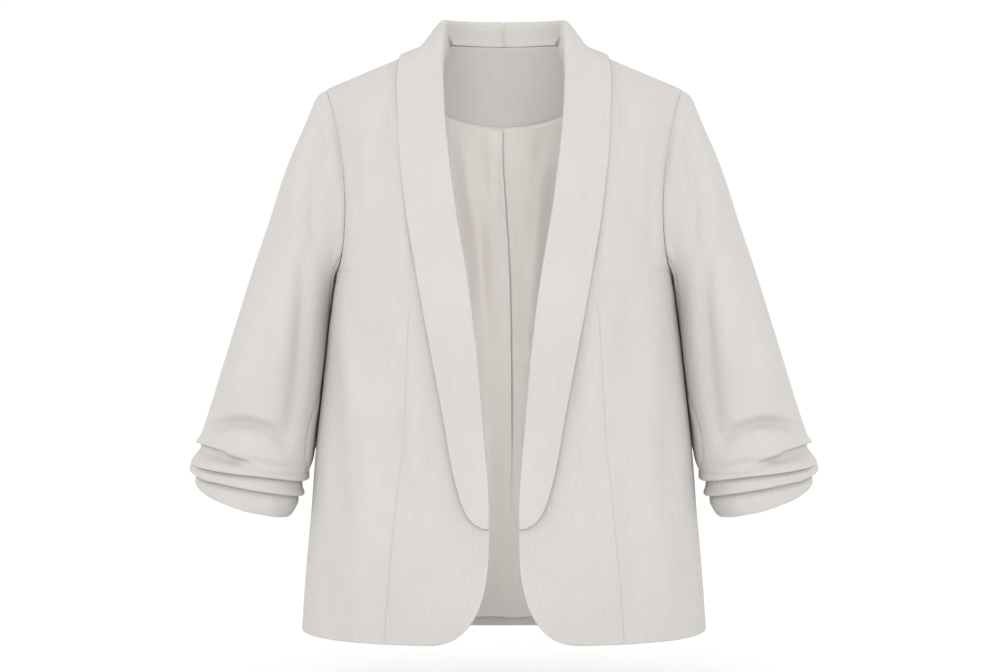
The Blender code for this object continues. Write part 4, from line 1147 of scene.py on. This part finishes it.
def back_cloth(settings, cloth):
    """The back: soft folds from the shoulder blades and the waist, and dips along its seams."""
    near = np.linspace(0, NECK_COLUMN, int(BACK_FINE_COLUMNS * NECK_COLUMN) + 1)
    far = np.linspace(NECK_COLUMN, 1, BACK_FINE_COLUMNS - len(near) + 2)[1:]
    upper = fine_upper()
    lower = np.linspace(0, 1, FINE_LOWER + 1)[1:]
    half, half_z = back_grid(np.concatenate([near, far]), upper, lower)
    angles, z = whole_back(half, half_z)
    grid = np.stack([angles, z], axis=-1)
    grid = with_edge_rows(with_edge_rows(grid, 0, "first last"), 1, "first last")
    angles, z = grid[..., 0], grid[..., 1]
    points, normals = torso_point(angles, z), torso_normal(angles, z)
    walked = lengths(points, 1)
    level = level_lengths(points)
    u = level - level[:, level.shape[1] // 2][:, None]
    v = z
    to_side = np.minimum(walked, walked[:, -1:] - walked)
    to_top = lengths(points, 0)
    held = fade(to_side, 0.0, SIDE_HELD) * fade(to_top, 0.0, BACK_TOP_HELD)
    x = points[..., 0]
    lift = np.maximum(crease_height(BACK_CREASES, x, z), DEEPEST_BACK_TROUGH) * settings.crease_depth
    lift = (lift + relief(u, v, 37)) * held
    dip = pucker(z, to_side, 6) + seam_dip(to_side) + seam_dip(to_top)
    full = side_fullness(angles, z)
    outer = points + normals * (lift + dip + full)[..., None]
    inner = points + normals * (lift * 0.5 + full - settings.shell_wall)[..., None]
    rows = len(upper) + len(SEAM_SHARES)
    for grid in (outer, inner):
        grid[0, :, 1] += SEAM_GAP / 2
        grid[rows - 1 :, [0, -1], 1] += SEAM_GAP / 2
    flat = np.stack([u, v], axis=-1)
    return cloth_object("back_cloth", outer, inner, flat, cloth, ("bottom",))


def collar_cloth(side, settings, cloth):
    """Half of the shawl collar: its stand, its roll, and the fall, whose edge stands off the front."""
    places = np.unique([*np.linspace(0, 1, COLLAR_FINE_PLACES), *COLLAR_FIRST_PLACES, *COLLAR_LAST_PLACES])
    leg, fall = collar_middle(places, COLLAR_LEG_SHARES, COLLAR_FALL_SHARES)
    middle = np.concatenate([leg, fall], axis=1)
    normals = grid_normals(middle)
    normals[0, :, 0] = 0
    normals = unit(normals)
    to_centre = lengths(middle, 0)
    from_foot = lengths(middle, 1)
    to_edge = from_foot[:, -1:] - from_foot
    u = from_foot
    roll = len(COLLAR_LEG_SHARES)
    v = to_centre[:, roll][:, None] + 0 * u
    lift = smooth_through(*LAPEL_LIFT)(places)[:, None] * nearness(to_edge, LAPEL_LIFT_REACH)
    on_fall = fade(np.arange(middle.shape[1]), roll + 2, roll + 6)[None, :]
    _, way = torso_gauge(middle)
    soft = relief(u, v, 51 if side == "left" else 57) * COLLAR_RELIEF + COLLAR_EASE
    lift = lift + soft * fade(to_edge, 0.0, 0.006)
    middle = middle + way * (np.maximum(lift, 0) * on_fall)[..., None]
    dip = seam_dip(to_centre)
    wall = settings.shell_wall / 2
    faces = [middle + normals * (wall + dip)[..., None], middle - normals * (wall + dip)[..., None]]
    for grid in faces:
        grid[0, :, 0] = CLOSE_SEAM
    flat = np.stack([u, v], axis=-1)
    free = ("start", "end", "bottom")
    return cloth_object(f"collar_{side}_cloth", *faces, flat, cloth, free, side == "right")


def neck_facing_cloth(cloth):
    """The back neck facing, between the stand and its curved lower edge."""
    turn = np.linspace(-1, 1, 81) * math.pi / 2
    across = np.linspace(0, 1, 31)[:, None]
    lower_x = FACING_HALF_WIDTH * np.sin(turn)
    upper_x = FACING_NECK_X * np.sin(turn)
    x = upper_x + (lower_x - upper_x) * across
    z = FACING_TOP_Z + (facing_low_edge(lower_x) + SEAM_GAP / 2 - FACING_TOP_Z) * across
    grid = with_edge_rows(np.stack([x, z], axis=-1), 0, "first last")
    x, z = grid[..., 0], grid[..., 1]
    angles = math.pi - angle_at(x, z)
    points, normals = torso_point(angles, z), torso_normal(angles, z)
    walked = lengths(points, 0)
    from_edge = np.minimum(walked, walked[-1:] - walked)
    under = SHELL_WALL + FACING_GAP
    ease = relief(x, z, 71) * fade(from_edge, 0.0, 0.012) * FACING_RELIEF
    press = FACING_PRESS * nearness(from_edge, SEAM_REACH)
    outer = points - normals * under
    inner = points - normals * (under + FACING_WALL + ease - press)[..., None]
    flat = np.stack([x, z], axis=-1)
    return cloth_object("back_neck_facing_cloth", outer, inner, flat, cloth)


def pleat_columns():
    """The lining's columns: those of the pleat's fold, and even ones to both sides of it."""
    shares = np.linspace(0, 1, LINING_SIDE_COLUMNS)
    reach = 1 - BESIDE_PLEAT
    right = [PleatColumn(-1 + reach * share, 0.0, 0.0) for share in shares**0.97]
    left = [PleatColumn(BESIDE_PLEAT + reach * share, 0.0, 0.0) for share in shares**1.03]
    return np.array([*right, *PLEAT_COLUMNS, *left])


def lining_cloth(settings, satin):
    """The back lining: a centre pleat, tucked under on the wearer's right, and a turned hem."""
    table = pleat_columns()
    columns, slide, layer = table[:, 0], table[:, 1], table[:, 2]
    upper = np.linspace(0, 1, 70)[:, None] ** 1.1
    lower = np.linspace(0, 1, 101)[1:, None]
    z = np.concatenate([UNDERARM_Z * upper, UNDERARM_Z + (LINING_HEM_Z - UNDERARM_Z) * lower])
    z = np.repeat(z, len(columns), axis=1)
    count = len(upper)
    for _ in range(REFINEMENTS):
        reach = np.where(z > UNDERARM_Z, armhole_back(z), half_width(z)) - LINING_INSET
        x = reach * signed_power(np.sin(columns * math.pi / 2), 2 / SQUARENESS)
        x = x + pleat_fold(z) * np.clip(1 - np.abs(columns) / PLEAT_REACH, 0, 1)
        top = np.minimum(lining_top(x[:count]) + LINING_UNDERLAP, ridge_height(x[:count]) - LINING_INSET)
        z[:count] = top + (UNDERARM_Z - top) * upper
    open_part = fade(z[:1] - z, LINING_UNDERLAP, LINING_UNDERLAP + 0.003)
    strength = fade(z, PLEAT_END_Z, PLEAT_END_Z + 0.20) * open_part
    fold_x = pleat_fold(z)
    in_pleat = np.abs(columns) < PLEAT_HALF_COLUMNS
    x = np.where(in_pleat, fold_x + columns * PLEAT_COLUMN_SCALE + slide * strength, x)
    angles = math.pi - angle_at(x, z)
    points, normals = torso_point(angles, z), torso_normal(angles, z)
    from_fold = np.clip(fold_x - x, 0, None)
    over = np.clip(1 - from_fold / PLEAT_WIDTH, 0, 1) ** 1.5
    folded = np.where(columns <= -0.001, over, layer)
    raised = PLEAT_DEPTH * PLEAT_RISE * folded * strength
    u, v = x, z
    near_top = lengths(points, 0)
    creases = np.maximum(crease_height(LINING_CREASES, x, z), LINING_TROUGH) * fade(near_top, 0.0, 0.03)
    soft = relief(u * 1.4, v * 0.8, 83) * LINING_RELIEF * fade(near_top, 0.0, 0.02)
    gathers = np.abs(uneven(x, z, LINING_GATHERS, 89)) * nearness(near_top, 0.030)
    to_hem = np.clip(z - LINING_HEM_Z, 0, None)
    hem = -LINING_HEM_DIP * nearness(to_hem - LINING_HEM_FOLD, HEM_REACH)
    wave = LINING_WAVE * (1 + soft_noise(x, z * 0, 0.030, 1.0, 97)) * nearness(to_hem, 0.05)
    rise = (raised + np.maximum(creases + soft + gathers + wave, LINING_DEEPEST) + hem) * open_part
    under = SHELL_WALL + LINING_UNDER_GAP + (LINING_GAP + LINING_EASE - LINING_UNDER_GAP) * open_part
    edge_wave = soft_noise(x, z * 0, 0.022, 1.0, 99) * LINING_WAVE * nearness(to_hem, 0.02)
    outer = points - normals * (under + rise)[..., None]
    inner = points - normals * (under + rise + settings.lining_wall)[..., None]
    for grid in (outer, inner):
        grid[..., 2] += edge_wave
    flat = np.stack([u, v], axis=-1)
    return cloth_object("back_lining_cloth", outer, inner, flat, satin, ("bottom",))


def sleeve_surface(places, upper):
    """Points of the left sleeve at any places along its sections, a place for each row and column."""
    loop, _ = armhole_loop(upper)
    turn = sleeve_angles(loop, len(upper))
    first = SLEEVE_SECTIONS[0]
    top = np.array([first.outer_x, first.outer_z])
    chord = np.array([first.inner_x, first.inner_z]) - top
    across = np.array([-chord[1], chord[0]]) / np.linalg.norm(chord)
    flat = loop[:, [0, 2]] - top
    along_share = flat @ chord / (chord @ chord)
    off_chord = flat @ across
    read = {name: section_curve(name)(places) for name in Section._fields}
    start = np.stack([read["outer_x"], read["outer_z"]], axis=-1)
    line = np.stack([read["inner_x"], read["inner_z"]], axis=-1) - start
    square = unit(np.stack([-line[..., 1], line[..., 0]], axis=-1))
    from_seam = (turn - (math.pi - FRONT_SEAM_ANGLE)) / SEAM_TURN_SPREAD
    turn = turn + np.radians(smooth_through(*SEAM_TURN)(places)) * nearness(from_seam, 1)
    own = read["own"]
    share = along_share * (1 - own) + (1 - np.cos(turn)) / 2 * own
    bulge = off_chord * (1 - own)
    forward = np.sin(turn)
    oval = signed_power(forward, SLEEVE_SQUARENESS) * read["depth"]
    flat_points = start + share[..., None] * line + bulge[..., None] * square
    y = loop[:, 1] * (1 - own) - oval * own - read["forward"] * np.sin(turn / 2) ** 2
    x, z = flat_points[..., 0], flat_points[..., 1] - read["drop"] * forward
    lean = smooth_column(INNER_LEAN, "turn", "amount")(np.degrees(turn))
    lean = lean * fade(-z, *LEAN_TOP) * (1 - fade(-z, *LEAN_END))
    depth = np.where(y < 0, front_depth(z), back_depth(z))
    body_x = half_width(z) * np.clip(1 - np.abs(y / depth) ** SQUARENESS, 0, 1) ** (1 / SQUARENESS)
    x = np.minimum(x, np.maximum(x - lean, body_x + REST_GAP))
    return np.stack([x, y, z], axis=-1), turn


def sleeve_walk():
    """Distance along the middle of the sleeve at each of its sections."""
    outer = np.array([(s.outer_x, s.outer_z) for s in SLEEVE_SECTIONS])
    inner = np.array([(s.inner_x, s.inner_z) for s in SLEEVE_SECTIONS])
    middle = (outer + inner) / 2
    return np.concatenate([[0], np.cumsum(np.linalg.norm(np.diff(middle, axis=0), axis=1))])


def sleeve_rows(turn):
    """Each row's distance down the sleeve, how far the tucks slide it, and how far they push it out."""
    walk = sleeve_walk()
    number = np.arange(len(walk))
    degrees = np.degrees(np.where(turn > math.pi, turn - 2 * math.pi, turn))
    lines, strengths = [0 * turn], []
    for tuck in TUCKS:
        angle = [row.turn for row in tuck]
        place = smooth_through(angle, [row.place for row in tuck])(degrees)
        lines.append(np.interp(place, number, walk))
        strengths.append(smooth_through(angle, [row.strength for row in tuck])(degrees))
    lines.append(0 * turn + walk[-1])
    base, slide, push = [], [], []

    def plain(start, end, shares):
        for share in shares:
            base.append(start + (end - start) * share)
            slide.append(0 * turn)
            push.append(0 * turn)

    before = lines[0]
    shares = np.concatenate([CAP_ROWS, np.linspace(CAP_ROWS[-1], 1, SLEEVE_ROWS)[1:-1]])
    for i, strength in enumerate(strengths, 1):
        line = lines[i]
        room_above, room_below = line - lines[i - 1], lines[i + 1] - line
        squeeze_above = np.minimum(1, TUCK_ROOM * room_above / -TUCK_ROWS[0].base)
        squeeze_below = np.minimum(1, TUCK_ROOM * room_below / TUCK_ROWS[-1].base)
        plain(before, line + TUCK_ROWS[0].base * squeeze_above, shares)
        for row in TUCK_ROWS:
            squeeze = squeeze_above if row.base < 0 else squeeze_below
            base.append(line + row.base * squeeze)
            slide.append(row.slide * strength)
            push.append(row.push * strength)
        before = line + TUCK_ROWS[-1].base * squeeze_below
        shares = (0.25, 0.5, 0.75)
    plain(before, lines[-1], np.linspace(0.10, 1, 10))
    return np.array(base), np.array(slide), np.array(push), walk, number


def sleeve_normals(places, upper, last):
    """Outward normals of the sleeve's surface at those places."""
    lower, _ = sleeve_surface(np.clip(places + 0.02, 0, last), upper)
    higher, _ = sleeve_surface(np.clip(places - 0.02, 0, last), upper)
    around = np.roll(lower, -1, axis=1) - np.roll(lower, 1, axis=1)
    return -unit(np.cross(lower - higher, around))


def sleeve_cloth_faces(settings):
    """Outer and inner points of the left sleeve and its flat lay, with its tucks and creases."""
    upper = fine_upper()
    loop, panel_normals = armhole_loop(upper)
    turn = sleeve_angles(loop, len(upper))
    base, slide, push, walk, number = sleeve_rows(turn)
    place = np.interp(np.clip(base, 0, walk[-1]), walk, number)
    slid = np.interp(np.clip(base + slide, 0, walk[-1]), walk, number)
    plain, turned = sleeve_surface(place, upper)
    outer, _ = sleeve_surface(slid, upper)
    normals, plain_normals = (sleeve_normals(at, upper, number[-1]) for at in (slid, place))
    lower_half = np.clip((1 - np.cos(turn)) / 2 * UNDERARM_TURN - 0.5, 0, 1)[:, None]
    normals[0] = unit(panel_normals * (1 - lower_half) + normals[0] * lower_half)
    closed_ring = np.concatenate([plain, plain[:, :1]], axis=1)
    round_ring = lengths(closed_ring, 1)
    u, whole = round_ring[:, :-1], round_ring[:, -1:]
    u = np.where(turn > math.pi, u - whole, u)
    v = base + 0 * u
    x, z = plain[..., 0], plain[..., 2]
    forward = np.sin(turned)
    front, back = fade(forward, 0.05, 0.35), fade(-forward, 0.05, 0.35)
    held = fade(base, 0.0, 0.030)
    lift = crease_height(SLEEVE_FRONT_CREASES, x, z) * front
    lift = lift + crease_height(SLEEVE_BACK_CREASES, x, z) * back
    lift = lift * settings.crease_depth + relief(u, v, 61)
    to_hem = walk[-1] - base
    ruffle = uneven(u, v, CUFF_RUFFLE, 67) * fade(-to_hem, -0.075, -0.045)
    lift = (lift + ruffle) * held
    over_shoulder = fade(np.cos(turn), -0.2, 0.4)[None, :]
    cap = CAP_ROLL * nearness(base - CAP_ROLL_PLACE, CAP_ROLL_REACH) * over_shoulder
    cap = cap * fade(base, 0.0, 0.004)
    gathered = uneven(u, v * 0, CAP_PUCKER, 68) * nearness(base, CAP_PUCKER_REACH)
    hem = -HEM_DIP * nearness(to_hem, HEM_REACH)
    stand = TUCK_HEIGHT * push + lift + cap + gathered + seam_dip(base) + hem
    face = outer + normals * stand[..., None]
    smooth_lift = np.minimum(lift * fade(to_hem, 0.0, 0.02), SLEEVE_INSIDE_LIFT)
    deep = TUCK_LINING * fade(-to_hem, -0.085, -0.060) * fade(to_hem, 0.004, 0.016)
    plain_normals[0] = normals[0]
    back_face = plain + plain_normals * (smooth_lift - settings.shell_wall - deep)[..., None]
    for ring in (face[0], back_face[0]):
        ring[:, 0] += SEAM_GAP
    return face, back_face, np.stack([u, v], axis=-1), turn


def sleeve_cloth(name, faces, seams, mirrored, cloth):
    """The top or under sleeve: the columns between its two seams, dipping into each.

    The flat lay's zero line runs along the outer edge, so it jumps on the far side, where it is laid anew.
    """
    outer, inner, flat, turn = faces
    count = len(turn)
    first, last = (int(np.argmin(np.abs(turn - seam % (2 * math.pi)))) for seam in seams)
    columns = np.arange(first, last + 1 if last > first else last + count + 1) % count
    grid = np.concatenate([outer, inner, flat], axis=-1)[:, columns]
    if np.abs(np.diff(grid[..., FLAT_U], axis=1)).max() > MOST_FLAT_STEP:
        grid[..., FLAT_U] = grid[:, :1, FLAT_U] + lengths(grid[..., :3], 1)
    for end, neighbour in ((0, 1), (-1, -2)):
        for part in (slice(0, 3), slice(3, 6)):
            toward = unit(grid[:, neighbour, part] - grid[:, end, part])
            grid[:, end, part] += toward * SEAM_GAP / 2
    grid = with_edge_rows(grid, 1, "first last")
    outer, inner, flat = grid[..., :3].copy(), grid[..., 3:6], grid[..., 6:]
    walked = lengths(outer, 1)
    to_seam = np.minimum(walked, walked[:, -1:] - walked)
    through = unit(inner - outer)
    outer -= through * seam_dip(to_seam)[..., None]
    return cloth_object(name, outer, inner, flat, cloth, ("bottom",), mirrored)


# ---------------------------------------------------------------------------------------------------------
# Finishes

def colour(hex_value):
    """An sRGB colour such as 0xDDDAD4 as the linear numbers that a shader takes."""
    parts = [((hex_value >> shift) & 255) / 255 for shift in (16, 8, 0)]
    linear = [p / 12.92 if p <= 0.04045 else ((p + 0.055) / 1.055) ** 2.4 for p in parts]
    return (*linear, 1.0)


def add_node(tree, kind, settings=None, **links):
    """Adds a node; each link is a socket name, its spaces as underscores, with a value or another socket."""
    node = tree.nodes.new(kind)
    for name, value in (settings or {}).items():
        setattr(node, name, value)
    for name, value in links.items():
        socket = node.inputs[int(name[1:])] if name[1:].isdigit() else node.inputs[name.replace("_", " ")]
        if isinstance(value, bpy.types.NodeSocket):
            tree.links.new(value, socket)
        else:
            socket.default_value = value
    return node


def woven_cloth(name, middle, weave):
    """A woven cloth, drawn on its flat lay: single threads, thicker slubs that run down the warp, and a
    broad unevenness of tone. middle is the colour halfway between its light and dark threads."""
    material = bpy.data.materials.new(name)
    material.use_nodes = True
    tree = material.node_tree
    tree.nodes.clear()
    flat = add_node(tree, "ShaderNodeUVMap", {"uv_map": "Flat cloth"}).outputs[0]

    def noise(across, along, detail, shift):
        placed = add_node(tree, "ShaderNodeMapping", Vector=flat, Scale=(1 / across, 1 / along, 1.0),
                          Location=(shift, shift, 0.0))
        made = add_node(tree, "ShaderNodeTexNoise", {"noise_dimensions": "2D"}, Vector=placed.outputs[0],
                        Scale=1.0, Detail=detail, Roughness=0.5)
        return made.outputs[0]

    def blend(a, share_a, b, share_b):
        parts = [add_node(tree, "ShaderNodeMath", {"operation": "MULTIPLY"}, _0=part, _1=share).outputs[0]
                 for part, share in ((a, share_a), (b, share_b))]
        return add_node(tree, "ShaderNodeMath", {"operation": "ADD"}, _0=parts[0], _1=parts[1]).outputs[0]

    def ranged(value, bottom, top, **before):
        made = add_node(tree, "ShaderNodeMapRange", Value=value, To_Min=bottom, To_Max=top, **before)
        return made.outputs[0]

    thick, long = weave.thread
    slubs = noise(*weave.slub, 2.0, 0.0)
    warp = noise(thick, long, 1.0, 3.7)
    weft = noise(long * 0.5, thick, 1.0, 9.1)
    tone = noise(0.060, 0.110, 2.0, 5.3)
    drawn = blend(slubs, 0.60, blend(warp, 0.6, weft, 0.4), 0.40)
    spread = ranged(drawn, 0.0, 1.0, From_Min=0.5 - weave.streak, From_Max=0.5 + weave.streak)
    ramp = add_node(tree, "ShaderNodeValToRGB", Fac=spread)
    ramp.color_ramp.elements[0].color = colour(weave.dark)
    ramp.color_ramp.elements[1].color = colour(weave.light)
    ramp.color_ramp.elements.new(0.5).color = middle
    toned = ranged(tone, 0.975, 1.02, From_Min=0.25, From_Max=0.75)
    coloured = add_node(tree, "ShaderNodeVectorMath", {"operation": "SCALE"}, _0=ramp.outputs[0], _3=toned)
    raised = add_node(tree, "ShaderNodeBump", Strength=0.55, Distance=weave.relief, Height=drawn)
    rough = ranged(slubs, weave.roughness - 0.05, weave.roughness + 0.05)
    shader = add_node(tree, "ShaderNodeBsdfPrincipled", Base_Color=coloured.outputs[0], Roughness=rough,
                      Normal=raised.outputs[0], IOR=1.50, Specular_IOR_Level=0.28,
                      Sheen_Weight=weave.sheen, Sheen_Roughness=0.55)
    add_node(tree, "ShaderNodeOutputMaterial", Surface=shader.outputs[0])
    return material


def shell_linen():
    """Plain-woven linen and viscose, pressed: matt, with fine slubs down the warp. Its threads, 0.35 mm
    apart on the real cloth, are drawn 0.8 mm apart so that they show."""
    found = bpy.data.materials.get("Slubbed linen, stone")
    middle = bpy.context.scene.blazer_cloth.shell_colour
    return found or woven_cloth("Slubbed linen, stone", middle, SHELL_WEAVE)


def lining_satin():
    """Acetate satin lining: smooth and slightly lustrous, its filament threads far too fine to see."""
    found = bpy.data.materials.get("Acetate lining, shell pink")
    middle = bpy.context.scene.blazer_cloth.lining_colour
    return found or woven_cloth("Acetate lining, shell pink", middle, LINING_WEAVE)


def studio_paper():
    """Matt white paper, laid flat as the studio's floor."""
    material = bpy.data.materials.new("Seamless paper, white")
    material.use_nodes = True
    tree = material.node_tree
    tree.nodes.clear()
    place = add_node(tree, "ShaderNodeTexCoord").outputs["Object"]
    grain = add_node(tree, "ShaderNodeTexNoise", Vector=place, Scale=240.0, Detail=2.0)
    tint = add_node(tree, "ShaderNodeMapRange", Value=grain.outputs[0], To_Min=0.97, To_Max=0.99)
    shader = add_node(tree, "ShaderNodeBsdfPrincipled", Base_Color=tint.outputs[0], Roughness=0.95)
    shader.inputs["Specular IOR Level"].default_value = 0.1
    add_node(tree, "ShaderNodeOutputMaterial", Surface=shader.outputs[0])
    return material


# ---------------------------------------------------------------------------------------------------------
# What a user can change, and the steps that build the blazer

class BlazerCloth(PropertyGroup):
    shell_wall: FloatProperty(
        name="Shell cloth", description="Thickness of the shell cloth with its interfacing",
        default=SHELL_WALL, min=0.0008, max=0.003, unit="LENGTH")
    lining_wall: FloatProperty(
        name="Lining", description="Thickness of the lining",
        default=0.0005, min=0.0003, max=0.001, unit="LENGTH")
    crease_depth: FloatProperty(
        name="Creases", description="What the depth of every listed crease is multiplied by",
        default=1.7, min=0.0, max=3.0)
    shell_colour: FloatVectorProperty(
        name="Shell colour", description="Colour of the shell cloth",
        size=4, default=colour(SHELL_COLOUR), min=0.0, max=1.0, subtype="COLOR")
    lining_colour: FloatVectorProperty(
        name="Lining colour", description="Colour of the lining",
        size=4, default=colour(LINING_COLOUR), min=0.0, max=1.0, subtype="COLOR")


class BlazerStage(PropertyGroup):
    floor_height: FloatProperty(
        name="Floor", description="Height of the floor under the hem",
        default=-0.735, unit="LENGTH")
    camera_distance: FloatProperty(
        name="Camera distance", description="How far in front of the blazer the camera stands",
        default=3.5, min=1.0, unit="LENGTH")
    camera_height: FloatProperty(
        name="Camera height", description="Height of the level camera",
        default=-0.328, unit="LENGTH")
    focal_length: FloatProperty(
        name="Focal length", description="In millimetres, on a 36 mm sensor",
        default=109.07, min=20.0)


class BLAZER_OT_fronts(Operator):
    """Add the two fronts, each with its long dart"""
    bl_idname = "blazer.fronts"
    bl_label = "Fronts"

    def execute(self, context):
        for side in ("left", "right"):
            piece = front_cloth(side, context.scene.blazer_cloth, shell_linen())
            finish_cloth(piece, f"front_{side}")
        return {"FINISHED"}


class BLAZER_OT_back(Operator):
    """Add the back, cut in one piece"""
    bl_idname = "blazer.back"
    bl_label = "Back"

    def execute(self, context):
        piece = back_cloth(context.scene.blazer_cloth, shell_linen())
        finish_cloth(piece, "back")
        return {"FINISHED"}


class BLAZER_OT_collars(Operator):
    """Add the two halves of the shawl collar, which meet at the centre back"""
    bl_idname = "blazer.collars"
    bl_label = "Shawl collar"

    def execute(self, context):
        for side in ("left", "right"):
            piece = collar_cloth(side, context.scene.blazer_cloth, shell_linen())
            finish_cloth(piece, f"collar_{side}")
        return {"FINISHED"}


class BLAZER_OT_neck_facing(Operator):
    """Add the facing inside the back neck"""
    bl_idname = "blazer.neck_facing"
    bl_label = "Back neck facing"

    def execute(self, context):
        piece = neck_facing_cloth(shell_linen())
        finish_cloth(piece, "back_neck_facing")
        return {"FINISHED"}


class BLAZER_OT_lining(Operator):
    """Add the back lining with its centre pleat"""
    bl_idname = "blazer.lining"
    bl_label = "Back lining"

    def execute(self, context):
        piece = lining_cloth(context.scene.blazer_cloth, lining_satin())
        finish_cloth(piece, "back_lining")
        return {"FINISHED"}


class BLAZER_OT_sleeves(Operator):
    """Add the two-piece sleeves with gathers at their ends"""
    bl_idname = "blazer.sleeves"
    bl_label = "Sleeves"

    def execute(self, context):
        faces = sleeve_cloth_faces(context.scene.blazer_cloth)
        front_seam, back_seam = math.pi - FRONT_SEAM_ANGLE, math.pi + BACK_SEAM_ANGLE
        for side in ("left", "right"):
            for part, seams, cut in (
                ("top", (back_seam, front_seam), SLEEVE_TOP_CUT),
                ("under", (front_seam, back_seam), SLEEVE_UNDER_CUT),
            ):
                name = f"sleeve_{part}_{side}"
                piece = sleeve_cloth(f"{name}_cloth", faces, seams, side == "right", shell_linen())
                finish_cloth(piece, name)
        return {"FINISHED"}


class BLAZER_OT_stage(Operator):
    """Add the studio floor, the soft lights and the camera"""
    bl_idname = "blazer.stage"
    bl_label = "Stage"

    def execute(self, context):
        stage = context.scene.blazer_stage
        bpy.ops.object.select_all(action="DESELECT")
        bpy.ops.mesh.primitive_circle_add(vertices=96, radius=FLOOR_RADIUS, fill_type="NGON",
                                          location=(0.0, 0.0, stage.floor_height))
        floor = context.object
        floor.name = "studio_floor"
        bpy.ops.object.transform_apply(location=True, rotation=True, scale=True)
        floor.data.materials.append(studio_paper())

        scene = context.scene
        world = bpy.data.worlds.new("Studio")
        world.use_nodes = True
        background = world.node_tree.nodes["Background"]
        background.inputs["Color"].default_value = (1.0, 1.0, 1.0, 1.0)
        background.inputs["Strength"].default_value = WORLD_STRENGTH
        scene.world = world
        for box in LIGHTS:
            bpy.ops.object.light_add(type="AREA", location=box.place)
            light = context.object
            light.name = box.name
            light.data.shape = "RECTANGLE"
            light.data.size, light.data.size_y = box.size
            light.data.energy = box.power
            light.visible_camera = False
            toward = Vector(box.faces) - Vector(box.place)
            light.rotation_euler = toward.to_track_quat("-Z", "Y").to_euler()
        bpy.ops.object.camera_add(location=(0.0, -stage.camera_distance, stage.camera_height),
                                  rotation=(math.pi / 2, 0.0, 0.0))
        camera = context.object
        camera.data.sensor_width = 36.0
        camera.data.lens = stage.focal_length
        scene.camera = camera
        scene.view_settings.view_transform = "Standard"
        return {"FINISHED"}


STEPS = (BLAZER_OT_fronts, BLAZER_OT_back, BLAZER_OT_collars, BLAZER_OT_neck_facing, BLAZER_OT_lining,
         BLAZER_OT_sleeves, BLAZER_OT_stage)


class BLAZER_PT_steps(Panel):
    """The blazer's sizes, colours and steps"""
    bl_idname = "BLAZER_PT_steps"
    bl_label = "Shawl-collar blazer"
    bl_space_type = "VIEW_3D"
    bl_region_type = "UI"
    bl_category = "Blazer"

    def draw(self, context):
        for group in (context.scene.blazer_cloth, context.scene.blazer_stage):
            for name in group.__annotations__:
                self.layout.prop(group, name)
        for step in STEPS:
            self.layout.operator(step.bl_idname)


CLASSES = (BlazerCloth, BlazerStage, *STEPS, BLAZER_PT_steps)


def register():
    for item in CLASSES:
        bpy.utils.register_class(item)
    bpy.types.Scene.blazer_cloth = PointerProperty(type=BlazerCloth)
    bpy.types.Scene.blazer_stage = PointerProperty(type=BlazerStage)


def unregister():
    del bpy.types.Scene.blazer_stage
    del bpy.types.Scene.blazer_cloth
    for item in reversed(CLASSES):
        bpy.utils.unregister_class(item)


def main():
    register()
    for step in STEPS:
        group, action = step.bl_idname.split(".")
        getattr(getattr(bpy.ops, group), action)()


if __name__ == "__main__":
    main()
